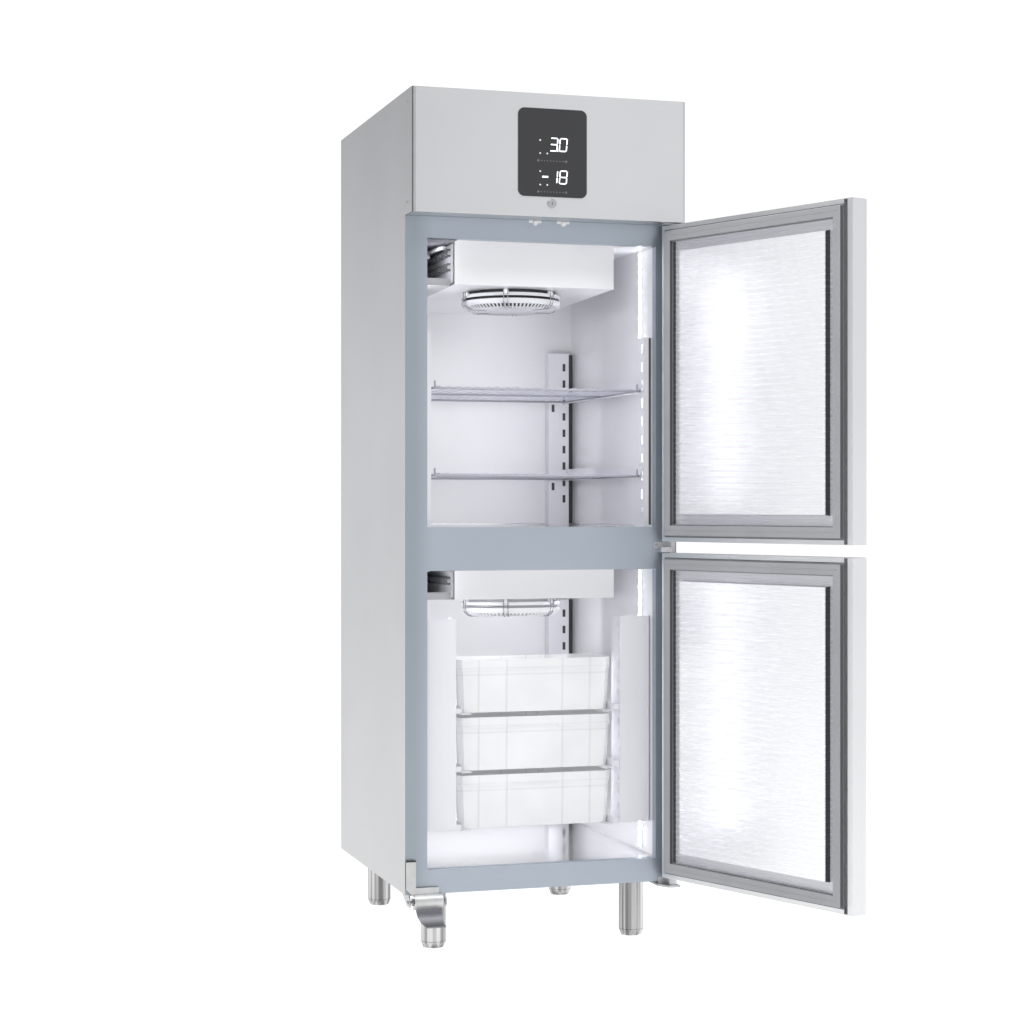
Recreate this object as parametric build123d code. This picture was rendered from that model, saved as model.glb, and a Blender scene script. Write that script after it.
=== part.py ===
from build123d import *
from math import atan2, cos, degrees, pi, sin
import os

# An upright two-temperature commercial refrigerator on four feet, with a shelf compartment above,
# a crate compartment below and an open-topped technical bay behind the fascia.
# The part is drawn with x to the right, y from the front frame to the back and z up from the floor,
# and is moved at the end so that its origin is the centre of its footprint with the doors open.

# Cabinet, mm
WIDTH = 700.0
DEPTH = 796.0
HEIGHT = 2103.0
LEG_HEIGHT = 146.0
SKIN = 1.2
SHEET = 1.5
FLANGE = 20.0
CLEAR_WIDTH = 590.0
LOWER_FLOOR = 205.0
LOWER_MOUTH_TOP = 934.0
LOWER_CEILING = 966.0
UPPER_FLOOR = 1040.5
UPPER_CEILING = 1747.5
LINER_BACK = 737.0
LIP_DEPTH = 26.0
FRAME_TOP = 1835.0
MULLION_DEPTH = 60.0

# Fascia and what it carries
FASCIA_DEPTH = 72.5
FASCIA_BOTTOM = 1801.0
FASCIA_CORNER = 10.0
DISPLAY_SIZE = (175.0, 216.0)
DISPLAY_CENTRE = (2.0, 1958.0)
DISPLAY_CORNER = 16.0
DISPLAY_PROUD = 2.4
DISPLAY_HOUSING = (140.0, 180.0, 42.0)
LOCK_CENTRE = (0.5, 1834.0)
LOCK_RADIUS = 10.5
LOCK_BARREL = 9.0
LOCK_LENGTH = 22.0
SWITCH_X = (-22.0, 51.0)
SWITCH_Z = 1793.0
SWITCH_RADIUS = 5.5

# Doors, drawn closed
HINGE_EDGE = 347.0
DOOR_WIDTH = 692.0
DOOR_GAP = 12.0
DOOR_FRONT = FASCIA_DEPTH
UPPER_DOOR = (1003.5, 1796.0)
LOWER_DOOR = (159.0, 974.5)
DOOR_SKIN = 1.0
DOOR_EDGE_RADIUS = 30.0
PIN = (329.0, -32.0)
PIN_RADIUS = 4.0
RUN_FIT = 0.05
BORE_RADIUS = PIN_RADIUS + RUN_FIT
BUSH_RADIUS = 8.0
BUSH_LENGTH = 20.0
BUSH_PROUD = 1.5
HINGE_GAP = 1.8
HINGE_ARM = 13.0
HINGE_X = (300.0, 344.0)
HINGE_SHEET = 3.0
HINGE_COLLAR = 6.0
OPEN_ANGLE = 109.6
GROOVE = (17.5, 11.5, 24.0)
GASKET_OUT = 15.0
GASKET_HINGE_OUT = 19.0
GASKET_BAND = 26.0
TURN_IN = 11.0
PANEL_POCKET = 50.0
PLATEAU_SIDE = 79.0
PLATEAU_END = 66.0
CHANNEL_LEVEL = -17.0
PLATEAU_LEVEL = -2.0

# Racks, shelves and crates
RUN_GAP = 0.3
SLOT_PITCH = 46.1
SLOT_SIZE = (8.5, 21.0)
FRONT_Y = (38.0, 109.0)
FRONT_SLOT_Y = (47.0, 59.0)
POST_SLOTS = (28.0, 46.1, 24.0)
SPACER_SLOTS = (18.0, 35.8, 17.5)
POST_INNER = 276.0
REAR_POST = (221.0, 280.0, 704.0)
REAR_SLOT_X = (266.0, 234.0)
REAR_SLOT_FIRST = (1112.5, 790.9)
REAR_SLOT_EXTRA = (1366.7, 1147.0)
POST_TOP = 1520.0
LOWER_POST_TOP = 830.0
SHELF_LEVELS = (1381.2, 1165.4)
SHELF_SIZE = (546.0, 650.0)
SHELF_FRONT = 50.0
SHELF_BAR = 6.0
SHELF_WIRE = 3.0
SHELF_WIRES = 21
SHELF_PITCH = 25.0
SPACER_INNER = 213.0
SPACER_RANGE = (294.0, 815.0)
SPACER_ROUNDING = 14.0
CRATE_SIZE = (400.0, 600.0, 132.0)
CRATE_FRONT = 75.0
CRATE_LEVELS = (577.2, 433.2, 289.2)
CRATE_WALL = 2.5
CRATE_RIM = 26.0
CRATE_CORNER = 12.0
CRATE_INSET = (7.0, 2.0)
CRATE_RIB = 1.6
CRATE_RIB_X = (-144.5, -72.5, 72.5, 144.5)
CRATE_GRIP = (60.0, 5.0)
CRATE_SLOPE = (170.0, 32.0)
RUNNER_X = 197.0

# Evaporators
HOUSING_DROP = 105.5
HOUSING_X = (-213.0, 203.0)
HOUSING_FRONT = 60.0
TRAY_LEFT = -285.0
TRAY_FALL = 14.0
FAN_CENTRE = (-22.0, 225.0)
FAN_HOLE = 104.0
FAN_TIP = 98.0
FAN_COUNT = 5
COIL_X = (-206.0, 190.0)
COIL_Y = (455.0, 690.0)
COIL_TALL = 84.0
GUARD_RADIUS = 130.0
GUARD_DROP = 46.0
GUARD_SLOTS = 20
GUARD_STRUTS = 6
GUARD_TURN = 3.0
SHAFT_RADIUS = 4.0
BLADE_PITCH = 24.0

# Technical bay
COMPRESSOR_X = 215.0
COMPRESSOR_Y = 520.0
COMPRESSOR_RADIUS = 74.0
CONDENSER = (170.0, 712.0, 776.0, 232.0)
BAY_FAN = (690.0, 118.0)
ELECTRIC_BOX = (-330.0, -150.0, 60.0, 200.0, 90.0)
MOTOR_RADIUS = 34.0
SHROUD_HALF = 116.0
BEND_TUBE = 7.0
BEND_FLATS = 5

# Feet
FOOT_X = 258.5
FOOT_Y = (88.0, 721.0)
FOOT_RADIUS = 31.5
FOOT_SPLIT = 16.0
FOOT_STUD = 8.0

# Pedal, in front of the lower left corner
PEDAL_X = (-331.0, -260.0)
PEDAL_PIVOT = (8.0, 126.0)
PEDAL_SHEET = 3.0
PEDAL_FRONT = -8.0

ROUND_SIDES = 20
INNER_X = WIDTH / 2 - SKIN
WALL_X = CLEAR_WIDTH / 2
OUTER_X = WALL_X + SHEET
TRAY_SLOPE = atan2(TRAY_FALL, LINER_BACK - HOUSING_FRONT)
BAY_FLOOR = FASCIA_BOTTOM


def block(x0, x1, y0, y1, z0, z1):
    """A box between two corners."""
    centre = Pos((x0 + x1) / 2, (y0 + y1) / 2, (z0 + z1) / 2)
    return centre * Box(x1 - x0, y1 - y0, z1 - z0)


def mirrored(shape):
    """The same shape on the other side of the cabinet."""
    return mirror(shape, about=Plane.YZ)


def prism_x(points, x0, x1):
    """A (y, z) outline drawn out along x."""
    return extrude(Plane.YZ.offset(x0) * Polygon(*points, align=None), x1 - x0, dir=(1, 0, 0))


def prism_y(points, y0, y1):
    """An (x, z) outline drawn out along y."""
    return extrude(Plane.XZ.offset(-y0) * Polygon(*points, align=None), y1 - y0, dir=(0, 1, 0))


def prism_z(points, z0, z1):
    """An (x, y) outline drawn out along z."""
    return extrude(Plane.XY.offset(z0) * Polygon(*points, align=None), z1 - z0, dir=(0, 0, 1))


def rod_x(y, z, radius, x0, x1):
    return Pos((x0 + x1) / 2, y, z) * Rot(0, 90, 0) * Cylinder(radius, x1 - x0)


def rod_y(x, z, radius, y0, y1):
    return Pos(x, (y0 + y1) / 2, z) * Rot(90, 0, 0) * Cylinder(radius, y1 - y0)


def rod_z(x, y, radius, z0, z1):
    return Pos(x, y, (z0 + z1) / 2) * Cylinder(radius, z1 - z0)


def round_prism(radius, z0, z1, sides=ROUND_SIDES):
    """A round bar about local z, in short flats where no fit needs a true cylinder."""
    return extrude(Plane.XY.offset(z0) * RegularPolygon(radius, sides), z1 - z0)


def ring_prism(outer, inner, z0, z1):
    return round_prism(outer, z0, z1) - round_prism(inner, z0 - 1, z1 + 1)


def faceted(rings):
    """A solid through rings of equally many corners, with flat faces between them."""
    faces = [Face(Wire.make_polygon(ring)) for ring in (rings[0], rings[-1])]
    for low, high in zip(rings, rings[1:]):
        faces += [Face(Wire.make_polygon([low[i - 1], low[i], high[i], high[i - 1]]))
                  for i in range(len(low))]
    return Part() + Solid(Shell(faces))


def turned(levels, sides=ROUND_SIDES):
    """A turned form about local z, through (radius, z) levels, in short flats."""
    angles = [2 * pi * i / sides for i in range(sides)]
    return faceted([[Vector(r * cos(a), r * sin(a), z) for a in angles] for r, z in levels])


def facing(x, y, z):
    """A place at which local z points out of the cabinet's front."""
    return Pos(x, y, z) * Rot(90, 0, 0)


def upright_edges(shape):
    return shape.edges().filter_by(Axis.Z)


def group(shapes):
    """Several solids as one node."""
    return Compound([solid for shape in shapes for solid in shape.solids()])


def side_panel():
    """Left outer wall, with a rear flange, a top flange and a front flange behind the fascia."""
    x0 = -WIDTH / 2
    wall = block(x0, x0 + SKIN, SHEET, DEPTH, LEG_HEIGHT, HEIGHT)
    rear = block(x0, x0 + FLANGE, DEPTH - SKIN, DEPTH, LEG_HEIGHT, HEIGHT)
    top = block(x0, x0 + FLANGE, SHEET, DEPTH, HEIGHT - SKIN, HEIGHT)
    front = block(x0, x0 + FLANGE, 0, SHEET, FRAME_TOP, HEIGHT)
    return wall + rear + top + front


def rear_panel():
    """Back wall, with rows of air slots behind the condenser."""
    edge = WIDTH / 2 - FLANGE
    panel = block(-edge, edge, DEPTH - SKIN, DEPTH, LEG_HEIGHT, HEIGHT)
    slots = [block(x - 75, x + 75, DEPTH - 5, DEPTH + 5, z, z + 24)
             for x in (-86, 86) for z in [BAY_FLOOR + 20 + 44 * i for i in range(5)]]
    return panel - slots


def base_panel():
    return block(-INNER_X, INNER_X, SHEET, DEPTH - SKIN, LEG_HEIGHT, LEG_HEIGHT + SKIN)


def mouth(z0, z1, grow=0.0, y0=-1.0, y1=LIP_DEPTH):
    """The space of one door opening, grown on all four sides."""
    return block(-WALL_X - grow, WALL_X + grow, y0, y1, z0 - grow, z1 + grow)


def front_frame():
    """Face plate with two openings, each with a lip turned inwards."""
    plate = block(-WIDTH / 2, WIDTH / 2, 0, SHEET, LEG_HEIGHT, FRAME_TOP)
    for z0, z1 in ((LOWER_FLOOR, LOWER_MOUTH_TOP), (UPPER_FLOOR, UPPER_CEILING)):
        plate += mouth(z0, z1, SHEET, 0.0)
        plate -= mouth(z0, z1, y1=LIP_DEPTH + 1)
    for x in SWITCH_X:
        plate -= facing(x, 0, SWITCH_Z) * round_prism(SWITCH_RADIUS + 1, -SHEET - 1, 1, 8)
    return plate


def liner(floor, ceiling, mouth_top):
    """A five-sided sheet tank behind the frame's lip, lower at its mouth than inside."""
    def form(grow):
        tank = block(-WALL_X - grow, WALL_X + grow, MULLION_DEPTH - grow, LINER_BACK + grow,
                     floor - grow, ceiling + grow)
        throat = block(-WALL_X - grow, WALL_X + grow, LIP_DEPTH, MULLION_DEPTH + 5,
                       floor - grow, mouth_top + grow)
        return tank + throat
    return form(SHEET) - form(0.0)


def cabinet_insulation():
    """Foam slabs that meet face to face: walls, back, floor, deck, mullion and top."""
    y0, y1 = SHEET, DEPTH - SKIN
    z0, z1 = LEG_HEIGHT + SKIN, FASCIA_BOTTOM - SKIN
    inner_back = LINER_BACK + SHEET
    left = block(-INNER_X, -OUTER_X, y0, y1, z0, z1)
    back = block(-OUTER_X, OUTER_X, inner_back, y1, z0, z1)
    floor = block(-OUTER_X, OUTER_X, y0, inner_back, z0, LOWER_FLOOR - SHEET)
    deck = block(-OUTER_X, OUTER_X, y0, inner_back, LOWER_CEILING + SHEET, UPPER_FLOOR - SHEET)
    mullion = block(-OUTER_X, OUTER_X, y0, MULLION_DEPTH - SHEET,
                    LOWER_MOUTH_TOP + SHEET, LOWER_CEILING + SHEET)
    top = block(-OUTER_X, OUTER_X, y0, inner_back, UPPER_CEILING + SHEET, z1)
    top -= block(SWITCH_X[0] - 14, SWITCH_X[1] + 14, y0 - 1, 24, SWITCH_Z - 12, z1 + 1)
    return group([left, mirrored(left), back, floor, deck, mullion, top])


def fascia():
    """Bent cover of the technical bay, flush with the closed doors."""
    outer = block(-WIDTH / 2, WIDTH / 2, -FASCIA_DEPTH, 0, FASCIA_BOTTOM, HEIGHT)
    outer = fillet(upright_edges(outer).group_by(Axis.Y)[0], FASCIA_CORNER)
    inner = block(-WIDTH / 2 + SHEET, WIDTH / 2 - SHEET, -FASCIA_DEPTH + SHEET, 1,
                  FASCIA_BOTTOM + SHEET, HEIGHT - SHEET)
    inner = fillet(upright_edges(inner).group_by(Axis.Y)[0], FASCIA_CORNER - SHEET)
    shell = outer - inner
    shell -= block(-WIDTH / 2 + 30, WIDTH / 2 - 30, -FASCIA_DEPTH + 30, 1, HEIGHT - 5, HEIGHT + 5)
    shell -= block(-WIDTH / 2 + SHEET, WIDTH / 2 - SHEET, -4, 1, FASCIA_BOTTOM - 1, FASCIA_BOTTOM + 5)
    cx, cz = DISPLAY_CENTRE
    w, h = DISPLAY_HOUSING[0] + 2, DISPLAY_HOUSING[1] + 2
    shell -= block(cx - w / 2, cx + w / 2, -FASCIA_DEPTH - 1, -60, cz - h / 2, cz + h / 2)
    x, z = LOCK_CENTRE
    return shell - rod_y(x, z, LOCK_BARREL + RUN_FIT, -FASCIA_DEPTH - 1, -FASCIA_DEPTH + 5)


def display_panel():
    """Black control plate with its rear housing, passed through the fascia."""
    cx, cz = DISPLAY_CENTRE
    face = facing(cx, -FASCIA_DEPTH, cz) * RectangleRounded(*DISPLAY_SIZE, DISPLAY_CORNER)
    w, h, back = DISPLAY_HOUSING
    housing = block(cx - w / 2, cx + w / 2, -FASCIA_DEPTH - 0.5, -back, cz - h / 2, cz + h / 2)
    return extrude(face, DISPLAY_PROUD) + housing


def lock_cylinder():
    """Key lock in the fascia with a turning cam behind it."""
    x, z = LOCK_CENTRE
    head = round_prism(LOCK_RADIUS, RUN_GAP, 3)
    barrel = rod_z(0, 0, LOCK_BARREL, -LOCK_LENGTH, RUN_GAP)
    cam = block(-24, 6, -6, 6, -LOCK_LENGTH - 2, -LOCK_LENGTH)
    keyway = block(-0.8, 0.8, -4, 4, 1, 4)
    return facing(x, -FASCIA_DEPTH, z) * (head + barrel + cam - keyway)


def switch_plunger(x):
    return facing(x, 0, SWITCH_Z) * round_prism(SWITCH_RADIUS, -6, 10.5, 8)


def switch_bodies():
    """The two door switches, each with a flange on the frame's face and a bore for its plunger."""
    bodies = []
    for x in SWITCH_X:
        body = block(x - 11, x + 11, SHEET, 21, SWITCH_Z - 10, SWITCH_Z + 6)
        flange = block(x - 16, x + 16, -2.5, 0, SWITCH_Z + 1, FASCIA_BOTTOM - 0.5)
        collar = facing(x, 0, SWITCH_Z) * round_prism(SWITCH_RADIUS + 1, -SHEET, 2.5, 8)
        bore = facing(x, 0, SWITCH_Z) * round_prism(SWITCH_RADIUS + 0.4, -12, 3, 8)
        bodies.append(body + flange + collar - bore)
    return group(bodies)


def technical_deck():
    """Galvanised floor of the technical bay."""
    z1 = BAY_FLOOR
    return block(-INNER_X, INNER_X, SHEET, DEPTH - SKIN, z1 - SKIN, z1)


def compressor(x):
    """Hermetic compressor: a welded dome and its terminal box on a plate with two rubber rails."""
    y, z = COMPRESSOR_Y, BAY_FLOOR
    r = COMPRESSOR_RADIUS
    can = turned([(r - 12, 18), (r, 36), (r, 96), (r - 16, 130), (r - 44, 146)])
    plate = block(-85, 85, -60, 60, 14, 18.5)
    rails = [block(dx - 9, dx + 9, -56, 56, 0, 14) for dx in (-70, 70)]
    box = block(-28, 28, -100, -60, 40, 92)
    return Pos(x, y, z) * (can + plate + rails + box)


def compressors():
    return group([compressor(-COMPRESSOR_X), compressor(COMPRESSOR_X)])


def condenser_coil():
    """Finned block between two end plates, with return bends on one side."""
    half, y0, y1, tall = CONDENSER
    z0, z1 = BAY_FLOOR, BAY_FLOOR + tall
    coil = block(-half, half, y0 + 6, y1 - 6, z0 + 8, z1 - 8)
    for i in range(5):
        x = (i - 2) * half / 3
        coil += block(x - 1, x + 1, y0 + 1, y1 - 1, z0 + 6, z1 - 6)
    coil += [block(x - 1, x + 1, y0, y1, z0, z1) for x in (-half, half)]
    return coil + [u_bend(-half - 1, (y0 + y1) / 2, z0 + 84 + 48 * i, 12) for i in range(3)]


def u_bend(x, y, z, radius):
    """A return bend on the left of a coil, turning upwards from (y, z), in short flats."""
    half = BEND_TUBE / 2
    angles = [pi / 2 + pi * i / BEND_FLATS for i in range(BEND_FLATS + 1)]
    outer = [(x + (radius + half) * cos(a), z + radius + (radius + half) * sin(a)) for a in angles]
    inner = [(x + (radius - half) * cos(a), z + radius + (radius - half) * sin(a)) for a in angles]
    return prism_y(outer + inner[::-1], y - half, y + half)


def fan_rotor(count, hub, tip, height):
    """Axial fan about local z: a bored hub with pitched, tapered blades."""
    rotor = round_prism(hub, -height / 2, height / 2)
    planform = Polygon((hub - 3, -15), (tip - 26, -30), (tip, -18), (tip, 24), (tip - 18, 32),
                       (hub - 3, 15), align=None)
    blade = Rot(BLADE_PITCH, 0, 0) * Pos(0, 0, -1) * extrude(planform, 2)
    rotor += [Rot(0, 0, 360 / count * i) * blade for i in range(count)]
    return rotor - Cylinder(SHAFT_RADIUS + RUN_FIT, height + 60)


def condenser_fan_frame():
    """Shroud in front of the condenser with the motor and its shaft on three arms."""
    y, cz = BAY_FAN[0], BAY_FLOOR + BAY_FAN[1]
    half = SHROUD_HALF
    box = block(-half, half, y, y + 22, BAY_FLOOR, BAY_FLOOR + 2 * half + 4)
    box -= block(-half + 1.5, half - 1.5, y + 1.5, y + 30, BAY_FLOOR + 1.5, BAY_FLOOR + 2 * half + 2.5)
    box -= facing(0, y, cz) * round_prism(FAN_HOLE, -5, 5)
    motor = facing(0, y, cz) * round_prism(MOTOR_RADIUS, 28, 74) + rod_y(0, cz, SHAFT_RADIUS, y - 30, y - 2)
    for turn in (90, 210, 330):
        arm = block(20, 112, -33, -30, -6, 6) + block(106, 112, -33, 0, -6, 6)
        motor += Pos(0, y, cz) * Rot(0, turn, 0) * arm
    return box + motor


def condenser_fan_rotor():
    """Rotor of the condenser fan, between its motor and the shroud."""
    y, z = BAY_FAN
    return facing(0, y - 14, BAY_FLOOR + z) * fan_rotor(FAN_COUNT, 30, FAN_TIP, 22)


def electric_box():
    """Junction box with an overhanging lid and a cable gland at its back."""
    x0, x1, y0, y1, tall = ELECTRIC_BOX
    z0, z1 = BAY_FLOOR, BAY_FLOOR + tall
    case = block(x0, x1, y0, y1, z0, z1 - 8)
    lid = block(x0 - 2, x1 + 2, y0 - 2, y1 + 2, z1 - 8, z1)
    gland = extrude(Plane.XZ.offset(-y1) * Pos(x0 + 40, z0 + 40) * RegularPolygon(11, 6), -8)
    return case + lid + gland


def pipe(points, radius, bend):
    """A copper tube of straight runs joined by arcs."""
    path = FilletPolyline(*points, radius=bend)
    start = Plane(path @ 0, z_dir=path % 0)
    return sweep(start * RegularPolygon(radius, 6), path)


def refrigerant_pipes():
    """Discharge tubes of the two circuits, from each compressor to its side of the condenser."""
    runs = []
    x0, x1, x2 = COMPRESSOR_X + COMPRESSOR_RADIUS, 325, CONDENSER[0] + 1
    y1, z = (CONDENSER[1] + CONDENSER[2]) / 2, BAY_FLOOR + 50
    for side in (-1, 1):
        route = [(side * x0, COMPRESSOR_Y, z), (side * x1, COMPRESSOR_Y, z), (side * x1, y1, z),
                 (side * x2, y1, z)]
        runs.append(pipe(route, 4.5, 24))
    return group(runs)


def tray_level(y, ceiling):
    """Height of the underside of an evaporator tray, which falls towards the back."""
    share = (y - HOUSING_FRONT) / (LINER_BACK - HOUSING_FRONT)
    return ceiling - HOUSING_DROP - TRAY_FALL * share


def evaporator_housing(ceiling):
    """Front plate, sloping drip tray and right side, open on the left, with the fan's hole."""
    y0, y1 = HOUSING_FRONT, LINER_BACK
    z0, z1 = tray_level(y0, ceiling), tray_level(y1, ceiling)
    x0, x1 = HOUSING_X
    sheet = [(y0, z0), (y1, z1), (y1, z1 + SKIN), (y0 + SKIN, z0 + SKIN),
             (y0 + SKIN, ceiling), (y0, ceiling)]
    housing = prism_x(sheet, x0, x1)
    housing += prism_x([(y0, z0), (y1, z1), (y1, ceiling), (y0, ceiling)], x1 - SKIN, x1)
    y2 = y0 + 34
    z2 = tray_level(y2, ceiling)
    tray = [(y2, z2), (y1, z1), (y1, z1 + SKIN), (y2 + SKIN, z2 + SKIN), (y2 + SKIN, z2 + 18),
            (y2, z2 + 18)]
    housing += prism_x(tray, TRAY_LEFT, x0)
    housing += prism_x([(y2, z2), (y1, z1), (y1, z1 + 26), (y2, z2 + 18)], TRAY_LEFT, TRAY_LEFT + SKIN)
    return housing - rod_z(*FAN_CENTRE, FAN_HOLE, z1 - 5, z0 + 5)


def evaporator_coil(ceiling):
    """Coil block under the ceiling, with end plates, return bends and a header on the open side."""
    x0, x1, y0, y1 = *COIL_X, *COIL_Y
    z0, z1 = ceiling - COIL_TALL, ceiling
    coil = block(x0, x1, y0 + 4, y1 - 4, z0 + 6, z1 - 6)
    coil += [block(x - 1, x + 1, y0, y1, z0, z1) for x in (x0, x1)]
    coil += [u_bend(x0 - 1, y0 + 40 + 62 * i, z0 + 24, 14) for i in range(3)]
    z2 = ceiling - 30
    coil += block(x0 - 62, x0 - 54, 120, y1, z2 - 8, z2) + block(x0 - 62, x0, y1 - 8, y1, z2 - 8, z2)
    return coil + [block(x0 - 62, x0 - 54, y, y + 6, z2, ceiling) for y in (160, 360)]


def fan_frame_of(ceiling):
    """Location on the underside of a tray, at the fan's centre, with local z square to the tray."""
    x, y = FAN_CENTRE
    return Location((x, y, tray_level(y, ceiling)), (-degrees(TRAY_SLOPE), 0, 0))


def fan_motor(ceiling):
    """Motor and shaft on a bridge across the fan's hole."""
    motor = round_prism(36, 34, 76) + rod_z(0, 0, SHAFT_RADIUS, 4, 34)
    bridge = block(-134, 134, -9, 9, 31, 34)
    legs = block(-134, -131, -9, 9, SKIN + 0.05, 31) + block(131, 134, -9, 9, SKIN + 0.05, 31)
    return fan_frame_of(ceiling) * (motor + bridge + legs)


def evaporator_fan_motors():
    return group([fan_motor(UPPER_CEILING), fan_motor(LOWER_CEILING)])


def evaporator_rotor(ceiling):
    return fan_frame_of(ceiling) * Pos(0, 0, 14) * fan_rotor(FAN_COUNT, 34, FAN_TIP, 26)


def fan_guard(ceiling):
    """Moulded grille: a ring over a slotted dish, on six struts."""
    r, drop = GUARD_RADIUS, GUARD_DROP
    guard = ring_prism(r, r - 4, -16, -6)
    dish = turned([(r - 16, -drop), (r - 4, -35), (r, -21)])
    dish -= turned([(r - 19, 3 - drop), (r - 7, -34), (r - 3, -21)])
    slot = block(r - 70, r - 22, -3, 3, -drop - 1, -drop + 4)
    dish -= [Rot(0, 0, 360 / GUARD_SLOTS * i) * slot for i in range(GUARD_SLOTS)]
    strut = block(r - 5, r + 2, -5, 5, -29, 0)
    turns = [GUARD_TURN + 360 / GUARD_STRUTS * i for i in range(GUARD_STRUTS)]
    return fan_frame_of(ceiling) * (guard + dish + [Rot(0, 0, turn) * strut for turn in turns])


def slot_cuts(levels, x0, x1, y0, y1, height):
    """One through slot at each level."""
    return [block(x0, x1, y0, y1, z - height / 2, z + height / 2) for z in levels]


def front_spacer(x0, z0, z1, rounding, slots):
    """Right front upright: a folded panel before the light bar, slotted in its inner side."""
    y0, y1 = FRONT_Y
    face = block(x0, WALL_X, y0, y1, z0, z1)
    hollow = block(x0 + SHEET, WALL_X - SHEET, y0 + SHEET, y1 + 1, z0 - 1, z1 + 1)
    if rounding:
        face = fillet(upright_edges(face).group_by(Axis.Y)[0].sort_by(Axis.X)[-1:], rounding)
        hollow = fillet(upright_edges(hollow).group_by(Axis.Y)[0].sort_by(Axis.X)[-1:],
                        rounding - SHEET)
    panel = face - hollow - block(WALL_X - 5, WALL_X + 1, y0 + 22, y1 + 1, z0 - 1, z1 + 1)
    drop, pitch, height = slots
    levels = [z1 - drop - pitch * i for i in range(int((z1 - z0 - 2 * drop) // pitch) + 1)]
    return panel - slot_cuts(levels, x0 - 1, x0 + SHEET + 1, *FRONT_SLOT_Y, height)


def nearest_slot(level):
    """The slot level of an upper front upright that lies nearest a given height."""
    drop, pitch, _ = POST_SLOTS
    first = POST_TOP - drop
    return first - pitch * round((first - level) / pitch)


def rear_post(floor, top, levels, extra):
    """Right rear rack post: a channel against the back wall with one main column of slots."""
    x0, x1, y0 = REAR_POST
    post = block(x0, x1, y0, LINER_BACK, floor, top)
    post -= block(x0 + SHEET, x1 - SHEET, y0 + SHEET, LINER_BACK + 1, floor - 1, top + 1)
    w, h = SLOT_SIZE
    main, second = REAR_SLOT_X
    post -= slot_cuts(levels, main - w / 2, main + w / 2, y0 - 1, y0 + 4, h)
    return post - slot_cuts(extra, second - w / 2, second + w / 2, y0 - 1, y0 + 4, h)


def upper_rack_posts():
    levels = [REAR_SLOT_FIRST[0] + SLOT_PITCH * i for i in range(9)]
    pair = [front_spacer(POST_INNER, UPPER_FLOOR, POST_TOP, 0, POST_SLOTS),
            rear_post(UPPER_FLOOR, POST_TOP, levels, REAR_SLOT_EXTRA)]
    return group(pair + [mirrored(p) for p in pair])


def lower_rack_posts():
    levels = [REAR_SLOT_FIRST[1] - SLOT_PITCH * i for i in range(13)]
    post = rear_post(LOWER_FLOOR, LOWER_POST_TOP, levels, ())
    return group([post, mirrored(post)])


def lower_spacer_panels():
    panel = front_spacer(SPACER_INNER, *SPACER_RANGE, SPACER_ROUNDING, SPACER_SLOTS)
    return group([panel, mirrored(panel)])


def shelf_runner(level):
    """Right shelf runner: an angle with a high anti-tilt flange, hooked into the front upright."""
    y0, y1 = FRONT_Y[0] + 12, REAR_POST[2]
    x1 = POST_INNER - 0.8
    base = level - RUN_GAP
    flange = prism_x([(y0, base - SKIN), (y1, base - SKIN), (y1, level + 30), (y0 + 26, level + 32),
                      (y0, level + 24)], x1 - SKIN, x1)
    ledge = block(x1 - 16, x1, y0, y1, base - SKIN, base)
    hook = nearest_slot(level + 12)
    return flange + ledge + block(x1 - SKIN, POST_INNER + 3, y0 + 2, y0 + 8, hook - 6, hook + 3)


def shelf_runners():
    pair = [shelf_runner(level) for level in SHELF_LEVELS]
    return group(pair + [mirrored(p) for p in pair])


def crate_runner(level):
    """Right crate runner: a ledge with a low flange, tied to the front and rear uprights."""
    y0, y1 = FRONT_Y[0] + 8, REAR_POST[2]
    x1 = RUNNER_X
    base = level - RUN_GAP
    runner = block(x1 - 27, x1, y0, y1, base - SKIN, base)
    runner += block(x1 - SKIN, x1, y0, y1, base - SKIN, level + 18)
    front = block(x1 - SKIN, SPACER_INNER, y0 + 3, y0 + 5, level + 2, level + 14)
    rear = block(x1 - SKIN, REAR_POST[0] + 10, y1 - 2, y1, level + 2, level + 14)
    return runner + front + rear


def crate_runners():
    runs = [crate_runner(level) for level in CRATE_LEVELS]
    return group(runs + [mirrored(r) for r in runs])


def wire_shelf(level):
    """Grid shelf: a rim with a middle rod, and close front-to-back wires laid on top."""
    w, d = SHELF_SIZE
    y0, y1 = SHELF_FRONT, SHELF_FRONT + d
    t, top = SHELF_BAR, level + SHELF_BAR
    rim = block(-w / 2, w / 2, y0, y1, level, top)
    rim -= block(-w / 2 + t, w / 2 - t, y0 + t, y1 - t, level - 1, top + 1)
    middle = y0 + d / 2
    rod = block(-w / 2 + t / 2, w / 2 - t / 2, middle - t / 2, middle + t / 2, level, top)
    first = -SHELF_PITCH * (SHELF_WIRES - 1) / 2
    wires = [block(x - SHELF_WIRE / 2, x + SHELF_WIRE / 2, y0, y1, top, top + SHELF_WIRE)
             for x in [first + SHELF_PITCH * i for i in range(SHELF_WIRES)]]
    return group([rim + rod] + wires)


def tapered(inset0, inset1, z0, z1):
    """The crate's outline as a block with bevelled corners, inset at both of its levels."""
    def outline(inset, z):
        x, y, c = CRATE_SIZE[0] / 2 - inset, CRATE_SIZE[1] / 2 - inset, CRATE_CORNER
        corners = [(x, c - y), (x, y - c), (x - c, y), (c - x, y), (-x, y - c), (-x, c - y),
                   (c - x, -y), (x - c, -y)]
        return [Vector(*corner, z) for corner in corners]
    return faceted([outline(inset0, z0), outline(inset1, z1)])


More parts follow.
